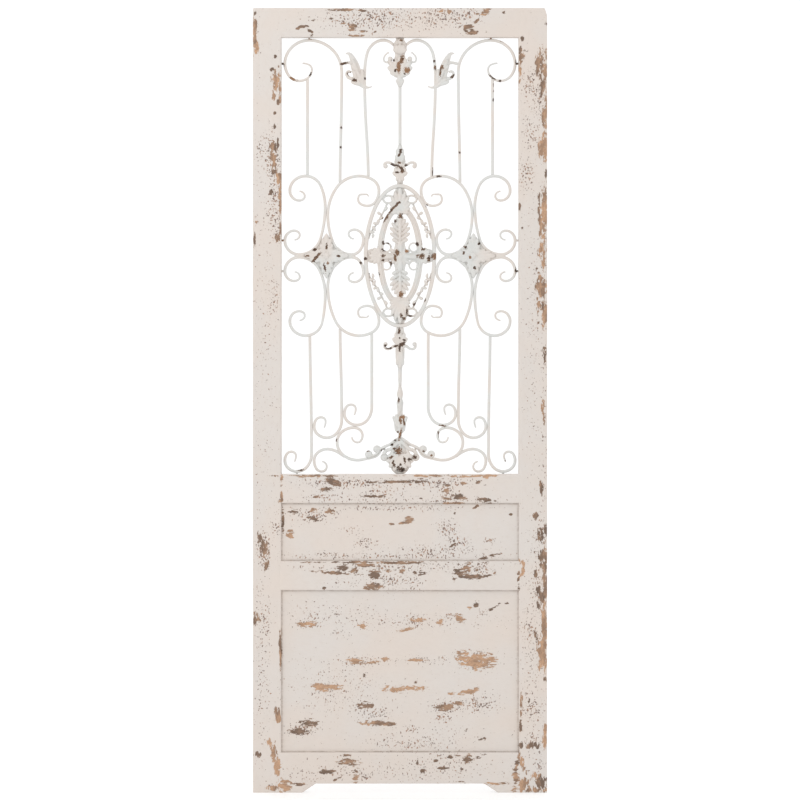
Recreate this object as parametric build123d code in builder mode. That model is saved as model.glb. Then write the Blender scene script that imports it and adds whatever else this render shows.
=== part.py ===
"""Decorative door panel: a painted wooden frame with two flat panels and a wrought iron grille.

The frame is a pair of full-height stiles, four rails tenoned between them and two boards held in
grooves. The opening above the boards holds forged scrolls and cast ornaments welded to each other,
and short studs carry that grille in the opening.

Frame: X across the door, Z up, the front faces -Y. The origin is the middle of the width, on the
back plane, at floor level. Units are millimetres.
"""

import os
from itertools import pairwise
from math import cos, radians, sin, sqrt

from build123d import *

os.makedirs("parts", exist_ok=True)

# Wooden frame
door_width = 750.0
door_height = 2000.0
frame_thickness = 30.0
stile_width = 73.0
rail_width = 75.0
bottom_rail_width = 80.0
foot_height = 23.0
foot_length = 53.0
foot_slope_run = 34.5
lower_panel_height = 413.0
upper_panel_height = 146.0
panel_thickness = 12.0
panel_recess = 7.0
groove_depth = 10.0
panel_float = 0.3
tenon_length = 40.0
tenon_thickness = 8.0
tenon_shoulder = 14.0
tenon_fit = 0.15
edge_round = 1.5

# Forged bars
bar_width = 6.5
bar_depth = 6.5
tip_width = 3.0
arm_width = 4.5
arm_hook = 9.0
rod_radius = 3.6
weld_gap = 0.15
side_gap = 5.0
end_gap = 3.0
stud_width = 5.0

# Scrolls, crooks and canes
outer_scroll_width = 102.9
scroll_rise = 20.5
stem_lean = 4.5
crook_height = 103.75
inner_cane_rise = 118.5
middle_cane_rise = 86.0
cane_tip_turn = 25.0
foot_scroll_height = 57.0
swan_joint_offset = 84.0
swan_joint_rise = 39.0

# Medallion
ring_half_width = 87.5
ring_half_height = 178.5
ring_bar = 9.5
band_half_width = 50.6
band_half_height = 120.6
band_bar = 15.0
palmette_half_width = 22.0
eye_width = 15.0
eye_height = 12.0
side_shell_radius = 18.0
curl_radius = 14.0
vine_width = 4.0

# Other castings
casting_rise = 3.0
rosette_reach = 58.0
collar_radius = 16.0
crown_radius = 28.0
crown_height = 126.0
crown_arm_reach = 39.0
finial_height = 101.5
finial_arm_reach = 38.0
baluster_arm_reach = 38.5
base_height = 94.0
shell_half_width = 30.0
knob_radius = 9.5

opening_half = door_width / 2 - stile_width
bottom_rail_top = foot_height + bottom_rail_width
middle_rail_bottom = bottom_rail_top + lower_panel_height
middle_rail_top = middle_rail_bottom + rail_width
lock_rail_bottom = middle_rail_top + upper_panel_height
opening_bottom = lock_rail_bottom + rail_width
opening_top = door_height - rail_width
medallion_level = (opening_bottom + opening_top) / 2
grille_depth = frame_thickness / 2
touch = bar_width + weld_gap
side_line = opening_half - side_gap - bar_width / 2
top_line = opening_top - end_gap - bar_width / 2
bottom_line = opening_bottom + end_gap + bar_width / 2

front_face = Plane.XZ.offset(frame_thickness)
back_face = Plane.XZ
grille_plane = Plane.XZ.offset(grille_depth)
casting_plane = Plane.XZ.offset(grille_depth - bar_depth / 2)
casting_depth = bar_depth + casting_rise

pieces = {}


def keep(name, shape):
    """Label a finished piece and remember it for the export at the end."""
    shape.label = name
    pieces[name] = shape


def keep_pair(name, *shapes):
    """Keep right-hand pieces and their mirror images on the left as one node."""
    with BuildPart() as pair:
        for shape in shapes:
            add(shape)
            mirror(shape, about=Plane.YZ)
    keep(name, pair.part)


# Wooden frame


def tenon_block(bottom, top, end, fit):
    """Add one tenon, or with a fit the mortise for it, at the right (+1) or left (-1) stile."""
    low, high = bottom + tenon_shoulder - fit, top - tenon_shoulder + fit
    reach = tenon_length + fit
    with BuildSketch(Plane.XZ.offset((frame_thickness - tenon_thickness) / 2 - fit)) as cheek:
        with Locations((end * (opening_half + reach / 2), (low + high) / 2)):
            Rectangle(reach, high - low)
    cut_or_grow = Mode.SUBTRACT if fit else Mode.ADD
    extrude(cheek.sketch, amount=tenon_thickness + 2 * fit, mode=cut_or_grow)


def groove(left, right, bottom, top):
    """Cut the slot that holds a board's edge out of the current piece."""
    with BuildSketch(front_face.offset(panel_float - panel_recess)) as slot:
        with Locations(((left + right) / 2, (bottom + top) / 2)):
            Rectangle(right - left, top - bottom)
    extrude(slot.sketch, amount=-(panel_thickness + 2 * panel_float), mode=Mode.SUBTRACT)


def stile():
    """The right-hand upright, with its panel groove and four mortises."""
    middle = opening_half + stile_width / 2
    with BuildPart() as upright:
        with BuildSketch(back_face):
            with Locations((middle, door_height / 2)):
                Rectangle(stile_width, door_height)
        extrude(amount=frame_thickness)
        long_edges = upright.edges().filter_by(Axis.Z).group_by(Axis.Y)[0]
        fillet(long_edges, edge_round)
        groove(
            opening_half - groove_depth,
            opening_half + groove_depth,
            bottom_rail_top - groove_depth,
            lock_rail_bottom + groove_depth,
        )
        for low, high in rail_levels.values():
            tenon_block(low, high, 1, tenon_fit)
    return upright.part


def rail(low, high, panel_above=False, panel_below=False):
    """A straight rail between the stiles, with a tenon at each end."""
    with BuildPart() as crossbar:
        with BuildSketch(back_face):
            with Locations((0, (low + high) / 2)):
                Rectangle(2 * opening_half, high - low)
        extrude(amount=frame_thickness)
        fillet(crossbar.edges().filter_by(Axis.X).group_by(Axis.Y)[0], edge_round)
        if panel_above:
            groove(-opening_half, opening_half, high - groove_depth, high + groove_depth)
        if panel_below:
            groove(-opening_half, opening_half, low - groove_depth, low + groove_depth)
        for end in (-1, 1):
            tenon_block(low, high, end, 0)
    return crossbar.part


def bottom_rail():
    """The lowest rail: its lower edge is cut away between two sloped feet."""
    inner = opening_half - foot_length
    with BuildPart() as crossbar:
        with BuildSketch(back_face):
            with BuildLine():
                half_edge = Polyline(
                    (0, foot_height),
                    (inner - foot_slope_run, foot_height),
                    (inner, 0),
                    (opening_half, 0),
                    (opening_half, bottom_rail_top),
                    (0, bottom_rail_top),
                )
                mirror(half_edge, about=Plane.YZ)
            make_face()
        extrude(amount=frame_thickness)
        fillet(crossbar.edges().filter_by(Axis.X).group_by(Axis.Y)[0].sort_by(Axis.Z)[-1:], edge_round)
        groove(-opening_half, opening_half, bottom_rail_top - groove_depth, bottom_rail_top + groove_depth)
        for end in (-1, 1):
            tenon_block(foot_height, bottom_rail_top, end, 0)
    return crossbar.part


def board(low, high):
    """A flat panel whose edges float in the grooves round it."""
    reach = groove_depth - panel_float
    with BuildPart() as panel:
        with BuildSketch(front_face.offset(-panel_recess)):
            with Locations((0, (low + high) / 2)):
                Rectangle(2 * (opening_half + reach), high - low + 2 * reach)
        extrude(amount=-panel_thickness)
    return panel.part


rail_levels = {
    "bottom_rail": (foot_height, bottom_rail_top),
    "middle_rail": (middle_rail_bottom, middle_rail_top),
    "lock_rail": (lock_rail_bottom, opening_bottom),
    "top_rail": (opening_top, door_height),
}

keep_pair("stiles", stile())
keep("bottom_rail", bottom_rail())
keep("middle_rail", rail(*rail_levels["middle_rail"], panel_above=True, panel_below=True))
keep("lock_rail", rail(*rail_levels["lock_rail"], panel_below=True))
keep("top_rail", rail(*rail_levels["top_rail"]))
keep("lower_panel", board(bottom_rail_top, middle_rail_bottom))
keep("upper_panel", board(middle_rail_top, lock_rail_bottom))


# Forged bars: each is a flat outline between two offset curves of tangent arcs


def direction(heading):
    return Vector(cos(radians(heading)), sin(radians(heading)))


def arc_or_line(start, end, tangent):
    """One arc that leaves start along tangent, or a line where the end lies straight ahead."""
    run = end - start
    if abs(run.cross(tangent).Z) < 1e-4 * run.length:
        Line(start, end)
    else:
        TangentArc(start, end, tangent=tangent)


def two_arcs(start, start_heading, end, end_heading):
    """Join two points, each with its own heading, by a pair of arcs that meet with one tangent."""
    leave, arrive, run = direction(start_heading), direction(end_heading), end - start
    if abs(run.cross(leave).Z) < 1e-4 * run.length and abs(leave.cross(arrive).Z) < 1e-4:
        Line(start, end)
        return
    lean, spare = run.dot(leave + arrive), 2 * (1 - leave.dot(arrive))
    if spare < 1e-6:
        reach = run.dot(run) / (2 * lean)
    else:
        reach = (sqrt(lean**2 + spare * run.dot(run)) - lean) / spare
    first, second = start + leave * reach, end - arrive * reach
    meeting = (first + second) / 2
    arc_or_line(start, meeting, leave)
    arc_or_line(meeting, end, (second - first).normalized())


def forged(stations):
    """A bar along (x, z, heading, width) stations, standing evenly about the grille's plane."""
    sides = []
    for side in (1, -1):
        edge = []
        for x, z, heading, width in stations:
            across = direction(heading + 90) * (side * width / 2)
            edge.append((Vector(x, z) + across, heading))
        sides.append(edge)
    with BuildPart() as bar:
        with BuildSketch(grille_plane):
            with BuildLine():
                for edge in sides:
                    for (start, leave), (end, arrive) in pairwise(edge):
                        two_arcs(start, leave, end, arrive)
                for cap in (0, -1):
                    Line(sides[0][cap][0], sides[1][cap][0])
            make_face()
        extrude(amount=bar_depth / 2, both=True)
    return bar.part


def span(corner, far_corner, shares):
    """Place (across, up) shares of the box between two corners as points."""
    (x0, z0), (x1, z1) = corner, far_corner
    return [(x0 + u * (x1 - x0), z0 + v * (z1 - z0)) for u, v in shares]


def bend_round(corner, far_corner, shares, heading):
    """Stations at shares of a box, each a quarter turn on from the last.

    The heading is meant for a box drawn left to right and upwards; any other box mirrors it.
    """
    (x0, z0), (x1, z1) = corner, far_corner
    turn = 1 if (x1 > x0) == (z1 > z0) else -1
    first = (0 if x1 > x0 else 180) + turn * heading
    points = span(corner, far_corner, shares)
    return [(x, z, first + turn * 90 * n, bar_width) for n, (x, z) in enumerate(points)]


def thinned(stations, first=0, last=0):
    """Draw the first and last few stations of a bar out towards a thin tip."""
    drawn = [list(station) for station in stations]
    for count, order in ((first, drawn), (last, drawn[::-1])):
        for n, station in enumerate(order[:count]):
            station[3] = tip_width + (bar_width - tip_width) * n / count
    return [tuple(station) for station in drawn]


def cut_away(shape, *others):
    """A piece with its neighbours taken out, so that it seats on them, without loose offcuts."""
    with BuildPart() as trimmed:
        add(shape)
        for other in others:
            add(other, mode=Mode.SUBTRACT)
    return trimmed.part.solids().sort_by(SortBy.VOLUME)[-1]


# Middle bay: two scrolls above and two below each rosette, held by the stile and by the medallion

ring_outer_x = ring_half_width + ring_bar / 2
ring_outer_z = ring_half_height + ring_bar / 2
ring_inner_x = ring_half_width - ring_bar / 2
ring_inner_z = ring_half_height - ring_bar / 2
band_outer_x = band_half_width + band_bar / 2
band_outer_z = band_half_height + band_bar / 2
band_inner_x = band_half_width - band_bar / 2
band_inner_z = band_half_height - band_bar / 2


def beside_ring(z):
    """Where a bar's middle line stands when the bar touches the medallion's side at a level."""
    edge = ring_outer_x * sqrt(max(0, 1 - ((z - medallion_level) / ring_outer_z) ** 2))
    return edge + weld_gap + bar_width / 2


ring_top = medallion_level + ring_outer_z
ring_foot = medallion_level - ring_outer_z
upper_crest = ring_top + scroll_rise
lower_crest = ring_foot - scroll_rise
scroll_height = upper_crest - medallion_level
upper_axis = medallion_level + touch / 2
lower_axis = medallion_level - touch / 2
outer_waist = side_line - outer_scroll_width
rosette_offset = outer_waist - touch / 2
inner_waist = rosette_offset - touch / 2
inner_scroll_width = inner_waist - beside_ring(medallion_level)

outer_free_curl = ((0.64, 0.806), (0.507, 0.743), (0.647, 0.688), (0.877, 0.814))
inner_free_curl = ((1.138, 0.738), (0.938, 0.766), (0.849, 0.703), (1.107, 0.62), (1.434, 0.814))
outer_held_curl = ((1, 0.179), (0.772, 0.304), (0.631, 0.249), (0.765, 0.187))
inner_held_curl = ((1, 0.193), (0.74, 0.318), (0.582, 0.264), (0.732, 0.2))


def outer_scroll(axis, crest, waist):
    """A scroll held by the stile, its free curl towards the crest, its waist at a share of it."""
    shares = (*outer_free_curl, (0.488, 1), (0, waist), (0.649, 0), *outer_held_curl)
    stations = bend_round((outer_waist, axis), (side_line, crest), shares, -180)
    return forged(thinned(stations, 3, 3))


def inner_scroll(axis, crest, waist):
    """A scroll held by the medallion, whose free curl reaches over the medallion's shoulder."""
    held_level = axis + inner_held_curl[0][1] * (crest - axis)
    shares = (*inner_free_curl, (0.88, 1), (0, waist), (0.663, 0), *inner_held_curl)
    far_corner = (beside_ring(held_level), crest)
    stations = bend_round((inner_waist, axis), far_corner, shares, -270)
    return cut_away(forged(thinned(stations, 4, 3)), ring.part)


with BuildPart() as ring:
    with BuildSketch(casting_plane):
        with Locations((0, medallion_level)):
            Ellipse(ring_outer_x, ring_outer_z)
            Ellipse(ring_inner_x, ring_inner_z, mode=Mode.SUBTRACT)
    extrude(amount=casting_depth)
keep("medallion_ring", ring.part)

upper_outer_scroll = outer_scroll(upper_axis, upper_crest, 0.604)
upper_inner_scroll = inner_scroll(upper_axis, upper_crest, 0.498)
lower_outer_scroll = outer_scroll(lower_axis, lower_crest, 0.478)
lower_inner_scroll = inner_scroll(lower_axis, lower_crest, 0.382)
keep_pair("outer_scrolls", upper_outer_scroll, lower_outer_scroll)
keep_pair("inner_scrolls", upper_inner_scroll, lower_inner_scroll)


# Ornaments on the middle line: flat-backed castings with a pair of forged arms


def cast_plate(outline):
    """Stand an outline up in the grille's plane and give it its depth."""
    with BuildPart() as plate:
        with BuildSketch(casting_plane):
            add(outline)
        extrude(amount=casting_depth)
    return plate.part


def cast_body(knops):
    """A casting that is as wide to either side of the middle line as its (width, level) knops."""
    with BuildSketch() as outline:
        with BuildLine():
            Polyline((0, knops[0][1]), *knops, (0, knops[-1][1]))
            mirror(about=Plane.YZ)
        make_face()
    return cast_plate(outline.sketch)


def with_arms(body, stations):
    """A casting with one forged arm and its mirror image."""
    arm = forged(stations)
    with BuildPart() as ornament:
        add(body)
        add(arm)
        mirror(arm, about=Plane.YZ)
    return ornament.part


def hooked_arm(level, reach, rise):
    """Stations of an arm that leaves the middle line at a level and hooks over at its end."""
    return [
        (rod_radius, level, 30, arm_width),
        (reach - arm_hook, level + rise, 0, arm_width),
        (reach, level + rise - arm_hook, -90, arm_width),
        (reach - arm_hook, level + rise - 1.7 * arm_hook, -180, tip_width),
    ]


crown_foot = opening_top - crown_height
finial_top = ring_top + finial_height
base_top = opening_bottom + base_height

crown_arm = [
    (rod_radius, crown_foot + 0.42 * crown_height, 0, arm_width),
    (0.72 * crown_arm_reach, crown_foot + 0.48 * crown_height, 25, arm_width),
    (crown_arm_reach, crown_foot + 0.58 * crown_height, 90, arm_width),
    (0.72 * crown_arm_reach, crown_foot + 0.7 * crown_height, 165, tip_width),
]
crown_knops = (
    (0.37, 1),
    (0.37, 0.95),
    (0.63, 0.87),
    (0.6, 0.8),
    (0.43, 0.66),
    (0.52, 0.56),
    (1, 0.43),
    (0.9, 0.33),
    (0.5, 0.21),
    (0.17, 0.19),
    (0.4, 0.13),
    (0.13, 0),
)
crown = with_arms(cast_body(span((0, crown_foot), (crown_radius, opening_top), crown_knops)), crown_arm)
keep("crown_ornament", crown)

with BuildPart() as centre_rod:
    with BuildSketch(Plane.XY.offset(finial_top)):
        with Locations((0, -grille_depth)):
            Circle(rod_radius)
    extrude(amount=crown_foot - finial_top)
keep("centre_rod", centre_rod.part)

finial_knops = (
    (0.23, 1),
    (0.42, 0.88),
    (0.9, 0.56),
    (0.6, 0.45),
    (1, 0.35),
    (0.45, 0.22),
    (0.45, 0),
)
finial_foot = ring_top + weld_gap
finial = cast_body(span((0, finial_foot), (collar_radius, finial_top), finial_knops))
finial_arm = hooked_arm(finial_foot + 0.44 * finial_height, finial_arm_reach, arm_width)
keep("upper_finial", with_arms(finial, finial_arm))

baluster_knops = (
    (0.55, 1),
    (0.7, 0.955),
    (0.94, 0.885),
    (0.55, 0.85),
    (0.72, 0.8),
    (0.68, 0.72),
    (0.3, 0.625),
    (0.22, 0.46),
    (0.5, 0.395),
    (0.34, 0.35),
    (0.53, 0.315),
    (0.38, 0.215),
    (1, 0.145),
    (0.81, 0.06),
    (0.25, 0.03),
    (0.25, 0),
)
baluster_top = ring_foot - weld_gap
baluster = cast_body(span((0, base_top), (collar_radius, baluster_top), baluster_knops))
baluster_arm = hooked_arm(span((0, base_top), (0, baluster_top), [(0, 0.82)])[0][1], baluster_arm_reach, 0)
keep("baluster", with_arms(baluster, baluster_arm))


# Upper bay: two crooks a side, and the picket that stands on the outer scroll

middle_bar = outer_waist - 0.475 * inner_scroll_width
picket_offset = outer_waist + 0.44 * outer_scroll_width
inner_stem = inner_waist - 1.06 * inner_scroll_width
inner_stem_foot = inner_waist - 1.17 * inner_scroll_width
crook_curl = ((0.692, 0.435), (0.524, 0.282), (0.743, 0), (1, 0.422))

crook_foot = top_line - crook_height
outer_crook_stations = thinned(
    bend_round(
        (middle_bar, crook_foot),
        (side_line, top_line),
        (*crook_curl, (0.573, 1), (0, 0.222)),
        -180,
    ),
    3,
)
outer_stem_end = (middle_bar + stem_lean, upper_crest - 0.3 * scroll_height, 270, bar_width)
outer_crook = cut_away(
    forged([*outer_crook_stations, outer_stem_end]), upper_inner_scroll, upper_outer_scroll
)
keep_pair("outer_crooks", outer_crook)

crook_top, crook_shoulder, crook_edge = span(
    (0, crook_foot), (inner_stem, top_line), ((0.467, 1), (0.93, 0.67), (1, 0.06))
)
leaf_foot = (inner_stem, crook_foot - 0.17 * crook_height)
inner_crook = cut_away(
    forged(
        [
            (rod_radius, top_line - bar_width * 3, 30, bar_width),
            (*crook_top, 0, bar_width),
            (*crook_shoulder, -75, bar_width),
            (*crook_edge, -90, bar_width),
            (inner_stem_foot, upper_crest - 0.15 * scroll_height, -90, bar_width),
        ]
    ),
    upper_inner_scroll,
    crown,
)
keep_pair("inner_crooks", inner_crook)

picket = cut_away(
    forged(
        [
            (picket_offset, crook_foot + 0.3 * crook_height, -90, bar_width),
            (picket_offset, upper_crest - 3 * bar_width, -90, bar_width),
        ]
    ),
    outer_crook,
    upper_outer_scroll,
)
keep_pair("pickets", picket)


# Lower bay: three canes a side, with the swan and foot scrolls between them

cane_shares = ((0, 0.64), (0.55, 0), (1, 0.415), (0.757, 0.743), (0.582, 0.59), (0.64, 0.36))


def cane(top_offset, bar, foot, side, *neighbours):
    """A bar that hangs from the scrolls above and turns up into a curl at its foot."""
    stations = bend_round((bar, foot), (side, foot + side - bar), cane_shares, -90)
    x, z, heading, width = stations[-1]
    hooked = thinned([*stations[:-1], (x, z, heading - 90 + cane_tip_turn, width)], 0, 3)
    top = (top_offset, lower_crest + 0.3 * scroll_height, -90, bar_width)
    return cut_away(forged([top, *hooked]), *neighbours)


outer_bar = outer_waist + 0.34 * outer_scroll_width
inner_bar = inner_waist - 1.267 * inner_scroll_width
outer_cane = cane(outer_bar + stem_lean, outer_bar, bottom_line, side_line, lower_outer_scroll)
middle_cane = cane(
    middle_bar + stem_lean,
    middle_bar,
    bottom_line + middle_cane_rise,
    outer_bar - touch,
    lower_inner_scroll,
    lower_outer_scroll,
    outer_cane,
)
inner_cane = cane(
    inner_bar,
    inner_bar,
    bottom_line + inner_cane_rise,
    middle_bar - touch,
    lower_inner_scroll,
    ring.part,
    middle_cane,
)
keep_pair("outer_canes", outer_cane)
keep_pair("middle_canes", middle_cane)
keep_pair("inner_canes", inner_cane)

inner_cane_width = middle_bar - touch - inner_bar
swan_joint = (swan_joint_offset, opening_bottom + swan_joint_rise)
swan_foot = opening_bottom + 0.9 * swan_joint_rise
swan_stations = bend_round(
    (inner_bar + 0.337 * inner_cane_width, swan_foot),
    (middle_bar + 0.167 * inner_cane_width, bottom_line + inner_cane_rise - touch),
    ((0.2, 0), (1, 0.55), (0.346, 1), (0, 0.76), (0.2, 0.544), (0.42, 0.71)),
    0,
)
swan = cut_away(
    forged([(*swan_joint, -10, bar_width), *thinned(swan_stations, 0, 3)]), middle_cane, inner_cane
)

foot_side = outer_bar - touch
foot_stations = bend_round(
    (foot_side, bottom_line),
    (middle_bar, bottom_line + foot_scroll_height),
    ((1.1, 0.66), (0.47, 1), (0, 0.486), (0.274, 0), (0.46, 0.21), (0.29, 0.44)),
    90,
)
(start_x, start_z, _, _), *rest = thinned(foot_stations, 0, 3)
foot_scroll = cut_away(forged([(start_x, start_z, 40, bar_width), *rest]), swan, outer_cane)
keep_pair("foot_scrolls", foot_scroll)


# Base ornament, rosettes, leaves and the medallion's filling


def lobed(points, sag):
    """An outline mirrored about the middle line, with a lobe between each two of its points."""
    with BuildSketch() as outline:
        with BuildLine():
            for start, end in pairwise(points):
                SagittaArc(start, end, sag * (Vector(*end) - Vector(*start)).length)
            mirror(about=Plane.YZ)
        make_face()
    return outline.sketch


shell = lobed(
    span(
        (0, opening_bottom),
        (shell_half_width, base_top),
        ((0, 1), (0.47, 0.93), (0.73, 0.77), (0.6, 0.6), (1, 0.4), (0.8, 0.2), (0.3, 0), (0, 0)),
    ),
    0.12,
)
arm_root, arm_bend, arm_drop = span(swan_joint, (0, base_top), ((0.9, 0.76), (0.52, 0.55), (0.36, 0.25)))
base_arm = forged(
    [
        (*arm_root, -20, bar_width),
        (*arm_bend, -25, bar_width),
        (*arm_drop, -60, bar_width),
        (*swan_joint, -10, bar_width),
    ]
)
knob_places = span(swan_joint, (0, base_top), ((0.52, 0.06), (0.3, 0.44), (0.05, 0.2)))
knob_stem = forged([(*arm_bend, -100, arm_width), (*knob_places[0], -80, arm_width)])
with BuildPart() as base:
    with BuildSketch(casting_plane):
        add(shell)
        for x, z in knob_places:
            with Locations((x, z), (-x, z)):
                Circle(knob_radius)
    extrude(amount=casting_depth)
    for limb in (base_arm, knob_stem):
        add(limb)
        mirror(limb, about=Plane.YZ)
base_ornament = cut_away(base.part, pieces["lock_rail"], pieces["baluster"])
keep("base_ornament", base_ornament)
keep_pair("swan_scrolls", cut_away(swan, base_ornament))

star_points = [(0, 1), (1, 0), (0, -1), (-1, 0), (0, 1)]
rosette_corner = (rosette_offset + rosette_reach, medallion_level + rosette_reach)
with BuildSketch() as star:
    with BuildLine():
        for start, end in pairwise(span((rosette_offset, medallion_level), rosette_corner, star_points)):
            SagittaArc(start, end, -0.08 * rosette_reach)
    make_face()
rosette = cut_away(
    cast_plate(star.sketch),
    upper_outer_scroll,
    upper_inner_scroll,
    lower_outer_scroll,
    lower_inner_scroll,
)
keep_pair("rosettes", rosette)

leaf_tip = (middle_bar, crook_foot + 0.68 * crook_height)
leaf_edge = (
    (0, 0, 0.05),
    (0, 0.18, 0.05),
    (0.22, 0.48, 0.15),
    (0.22, 0.67, 0.06),
    (0.71, 1, 0.7),
    (0.71, 0.89, 0.1),
    (0.65, 0.45, 0.7),
    (0.5, 0.23, 0.25),
)
leaf_points = span(leaf_foot, leaf_tip, [(u, v) for u, v, _ in leaf_edge])
with BuildSketch() as leaf_outline:
    with BuildLine():
        for start, end, (_, _, sag) in zip(leaf_points, leaf_points[1:] + leaf_points[:1], leaf_edge):
            SagittaArc(start, end, sag * (Vector(*end) - Vector(*start)).length)
    make_face()
stalk_root, stalk_tip = span(leaf_foot, leaf_tip, ((1, 0.7), (0.6, 0.62)))
leaf_stalk = forged([(*stalk_root, 180, arm_width), (*stalk_tip, 200, arm_width)])
with BuildPart() as leaf:
    add(cast_plate(leaf_outline.sketch))
    add(leaf_stalk)
keep_pair("leaves", cut_away(leaf.part, outer_crook, inner_crook))

palmette = ((0, 1), (0.27, 1), (0.5, 0.82), (0.73, 0.6), (1, 0.47), (0.8, 0.08), (0, 0))
vine_course = ((0.97, 0.25, 100), (0.68, 0.5, 120), (0.39, 0.78, 110))
ring_quarter = ((0, medallion_level), (ring_inner_x, medallion_level + ring_inner_z))
vine_stations = []
for u, v, heading in vine_course:
    [(x, z)] = span(*ring_quarter, [(u, v)])
    vine_stations.append((x, z, heading, vine_width))
vine = forged(vine_stations)
[(eye_offset, eye_level)] = span(*ring_quarter, [(0.36, 0.83)])
shell_offset = (band_outer_x + ring_inner_x) / 2
with BuildPart() as wreath:
    with BuildSketch(casting_plane):
        with Locations((0, medallion_level)):
            Ellipse(band_outer_x, band_outer_z)
        with Locations((-shell_offset, medallion_level), (shell_offset, medallion_level)):
            Circle(side_shell_radius)
        for rise in (1, -1):
            foot = medallion_level + rise * band_half_height
            tip = medallion_level + rise * ring_half_height
            add(lobed(span((0, foot), (palmette_half_width, tip), palmette), 0.14 * rise))
            eye = medallion_level + rise * (eye_level - medallion_level)
            with Locations((-eye_offset, eye), (eye_offset, eye)):
                Ellipse(eye_width, eye_height)
                Ellipse(eye_width - arm_width, eye_height - arm_width, mode=Mode.SUBTRACT)
        with Locations((0, medallion_level)):
            Ellipse(band_inner_x, band_inner_z, mode=Mode.SUBTRACT)
    extrude(amount=casting_depth)
    for quarter in (vine, mirror(vine, about=Plane.YZ, mode=Mode.PRIVATE)):
        add(quarter)
        mirror(quarter, about=Plane.XY.offset(medallion_level))
keep("medallion_wreath", cut_away(wreath.part, ring.part))

spray = (
    (0, 0.92),
    (0.21, 0.86),
    (0.38, 0.8),
    (0.6, 0.68),
    (0.66, 0.57),
    (0.5, 0.43),
    (0.31, 0.235),
    (0.44, 0.06),
    (1.05, 0.03),
)
spray_points = span((0, 0), (band_inner_x, band_inner_z), spray)
acanthus = lobed(spray_points + [(x, -z) for x, z in reversed(spray_points)], 0.16)
curl_x, curl_z = 0.8 * band_inner_x, 0.2 * band_inner_z
with BuildPart() as centre_leaf:
    with BuildSketch(casting_plane):
        with Locations((0, medallion_level)):
            add(acanthus)
            with GridLocations(2 * curl_x, 2 * curl_z, 2, 2):
                Circle(curl_radius)
                Circle(curl_radius - arm_width, mode=Mode.SUBTRACT)
    extrude(amount=casting_depth)
keep("medallion_leaf", cut_away(centre_leaf.part, wreath.part))


# Studs that hold the grille in the opening


def stud(x, z, heading, gap, bar):
    """A square stud from the outer edge of a bar to the wood that it faces."""
    end = Vector(x, z) + direction(heading) * (gap + bar_width / 2)
    return cut_away(forged([(x, z, heading, stud_width), (end.X, end.Y, heading, stud_width)]), bar)


crook_side = crook_foot + 0.422 * crook_height
upper_side = upper_axis + outer_held_curl[0][1] * (upper_crest - upper_axis)
lower_side = lower_axis + outer_held_curl[0][1] * (lower_crest - lower_axis)
crook_crest = middle_bar + 0.573 * (side_line - middle_bar)
cane_foot = outer_bar + 0.55 * (side_line - outer_bar)
with BuildPart() as studs:
    for pin in (
        stud(side_line, crook_side, 0, side_gap, outer_crook),
        stud(side_line, upper_side, 0, side_gap, upper_outer_scroll),
        stud(side_line, lower_side, 0, side_gap, lower_outer_scroll),
        stud(crook_crest, top_line, 90, end_gap, outer_crook),
        stud(cane_foot, bottom_line, -90, end_gap, outer_cane),
    ):
        add(pin)
        mirror(pin, about=Plane.YZ)
keep("grille_studs", studs.part)

for name, piece in pieces.items():
    export_step(piece, f"parts/{name}.step")
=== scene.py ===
import math

import bpy
import numpy as np
from mathutils import Euler, Matrix, Vector


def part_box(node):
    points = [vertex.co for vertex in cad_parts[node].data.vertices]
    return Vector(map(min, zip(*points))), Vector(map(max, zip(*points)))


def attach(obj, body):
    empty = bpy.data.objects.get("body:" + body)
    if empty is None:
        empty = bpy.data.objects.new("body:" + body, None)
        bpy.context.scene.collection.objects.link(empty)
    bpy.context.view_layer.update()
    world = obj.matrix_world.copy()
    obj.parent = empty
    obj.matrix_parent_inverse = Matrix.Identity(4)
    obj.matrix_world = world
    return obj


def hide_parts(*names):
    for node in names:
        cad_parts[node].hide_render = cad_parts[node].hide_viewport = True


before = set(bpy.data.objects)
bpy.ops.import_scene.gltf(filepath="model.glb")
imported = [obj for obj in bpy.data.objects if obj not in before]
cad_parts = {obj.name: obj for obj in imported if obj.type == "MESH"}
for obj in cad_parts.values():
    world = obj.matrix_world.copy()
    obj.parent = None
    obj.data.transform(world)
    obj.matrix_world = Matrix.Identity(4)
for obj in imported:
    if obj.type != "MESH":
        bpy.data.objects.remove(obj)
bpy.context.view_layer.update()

print("frame loaded:", len(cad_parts), "nodes")


# nothing selected, so that an operator acts only on what is picked next
def startClean():
    if bpy.context.object and bpy.context.object.mode != "OBJECT":
        bpy.ops.object.mode_set(mode="OBJECT")
    bpy.ops.object.select_all(action="DESELECT")


def takeUp(piece):
    startClean()
    piece.select_set(True)
    bpy.context.view_layer.objects.active = piece


def applyModifiers(piece):
    takeUp(piece)
    for modifier in list(piece.modifiers):
        bpy.ops.object.modifier_apply(modifier=modifier.name)


def settle(piece):
    takeUp(piece)
    bpy.ops.object.transform_apply(location=True, rotation=True, scale=True)


def joinAll(pieces, name):
    startClean()
    for piece in pieces:
        piece.select_set(True)
    bpy.context.view_layer.objects.active = pieces[0]
    if len(pieces) > 1:
        bpy.ops.object.join()
    joined = bpy.context.object
    joined.name = name
    settle(joined)
    return joined


def editAll(piece):
    takeUp(piece)
    bpy.ops.object.mode_set(mode="EDIT")
    bpy.ops.mesh.select_all(action="SELECT")


def cutOff(piece, corner, outward):
    editAll(piece)
    bpy.ops.mesh.bisect(plane_co=corner, plane_no=outward, use_fill=True, clear_outer=True)
    bpy.ops.object.mode_set(mode="OBJECT")


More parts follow.
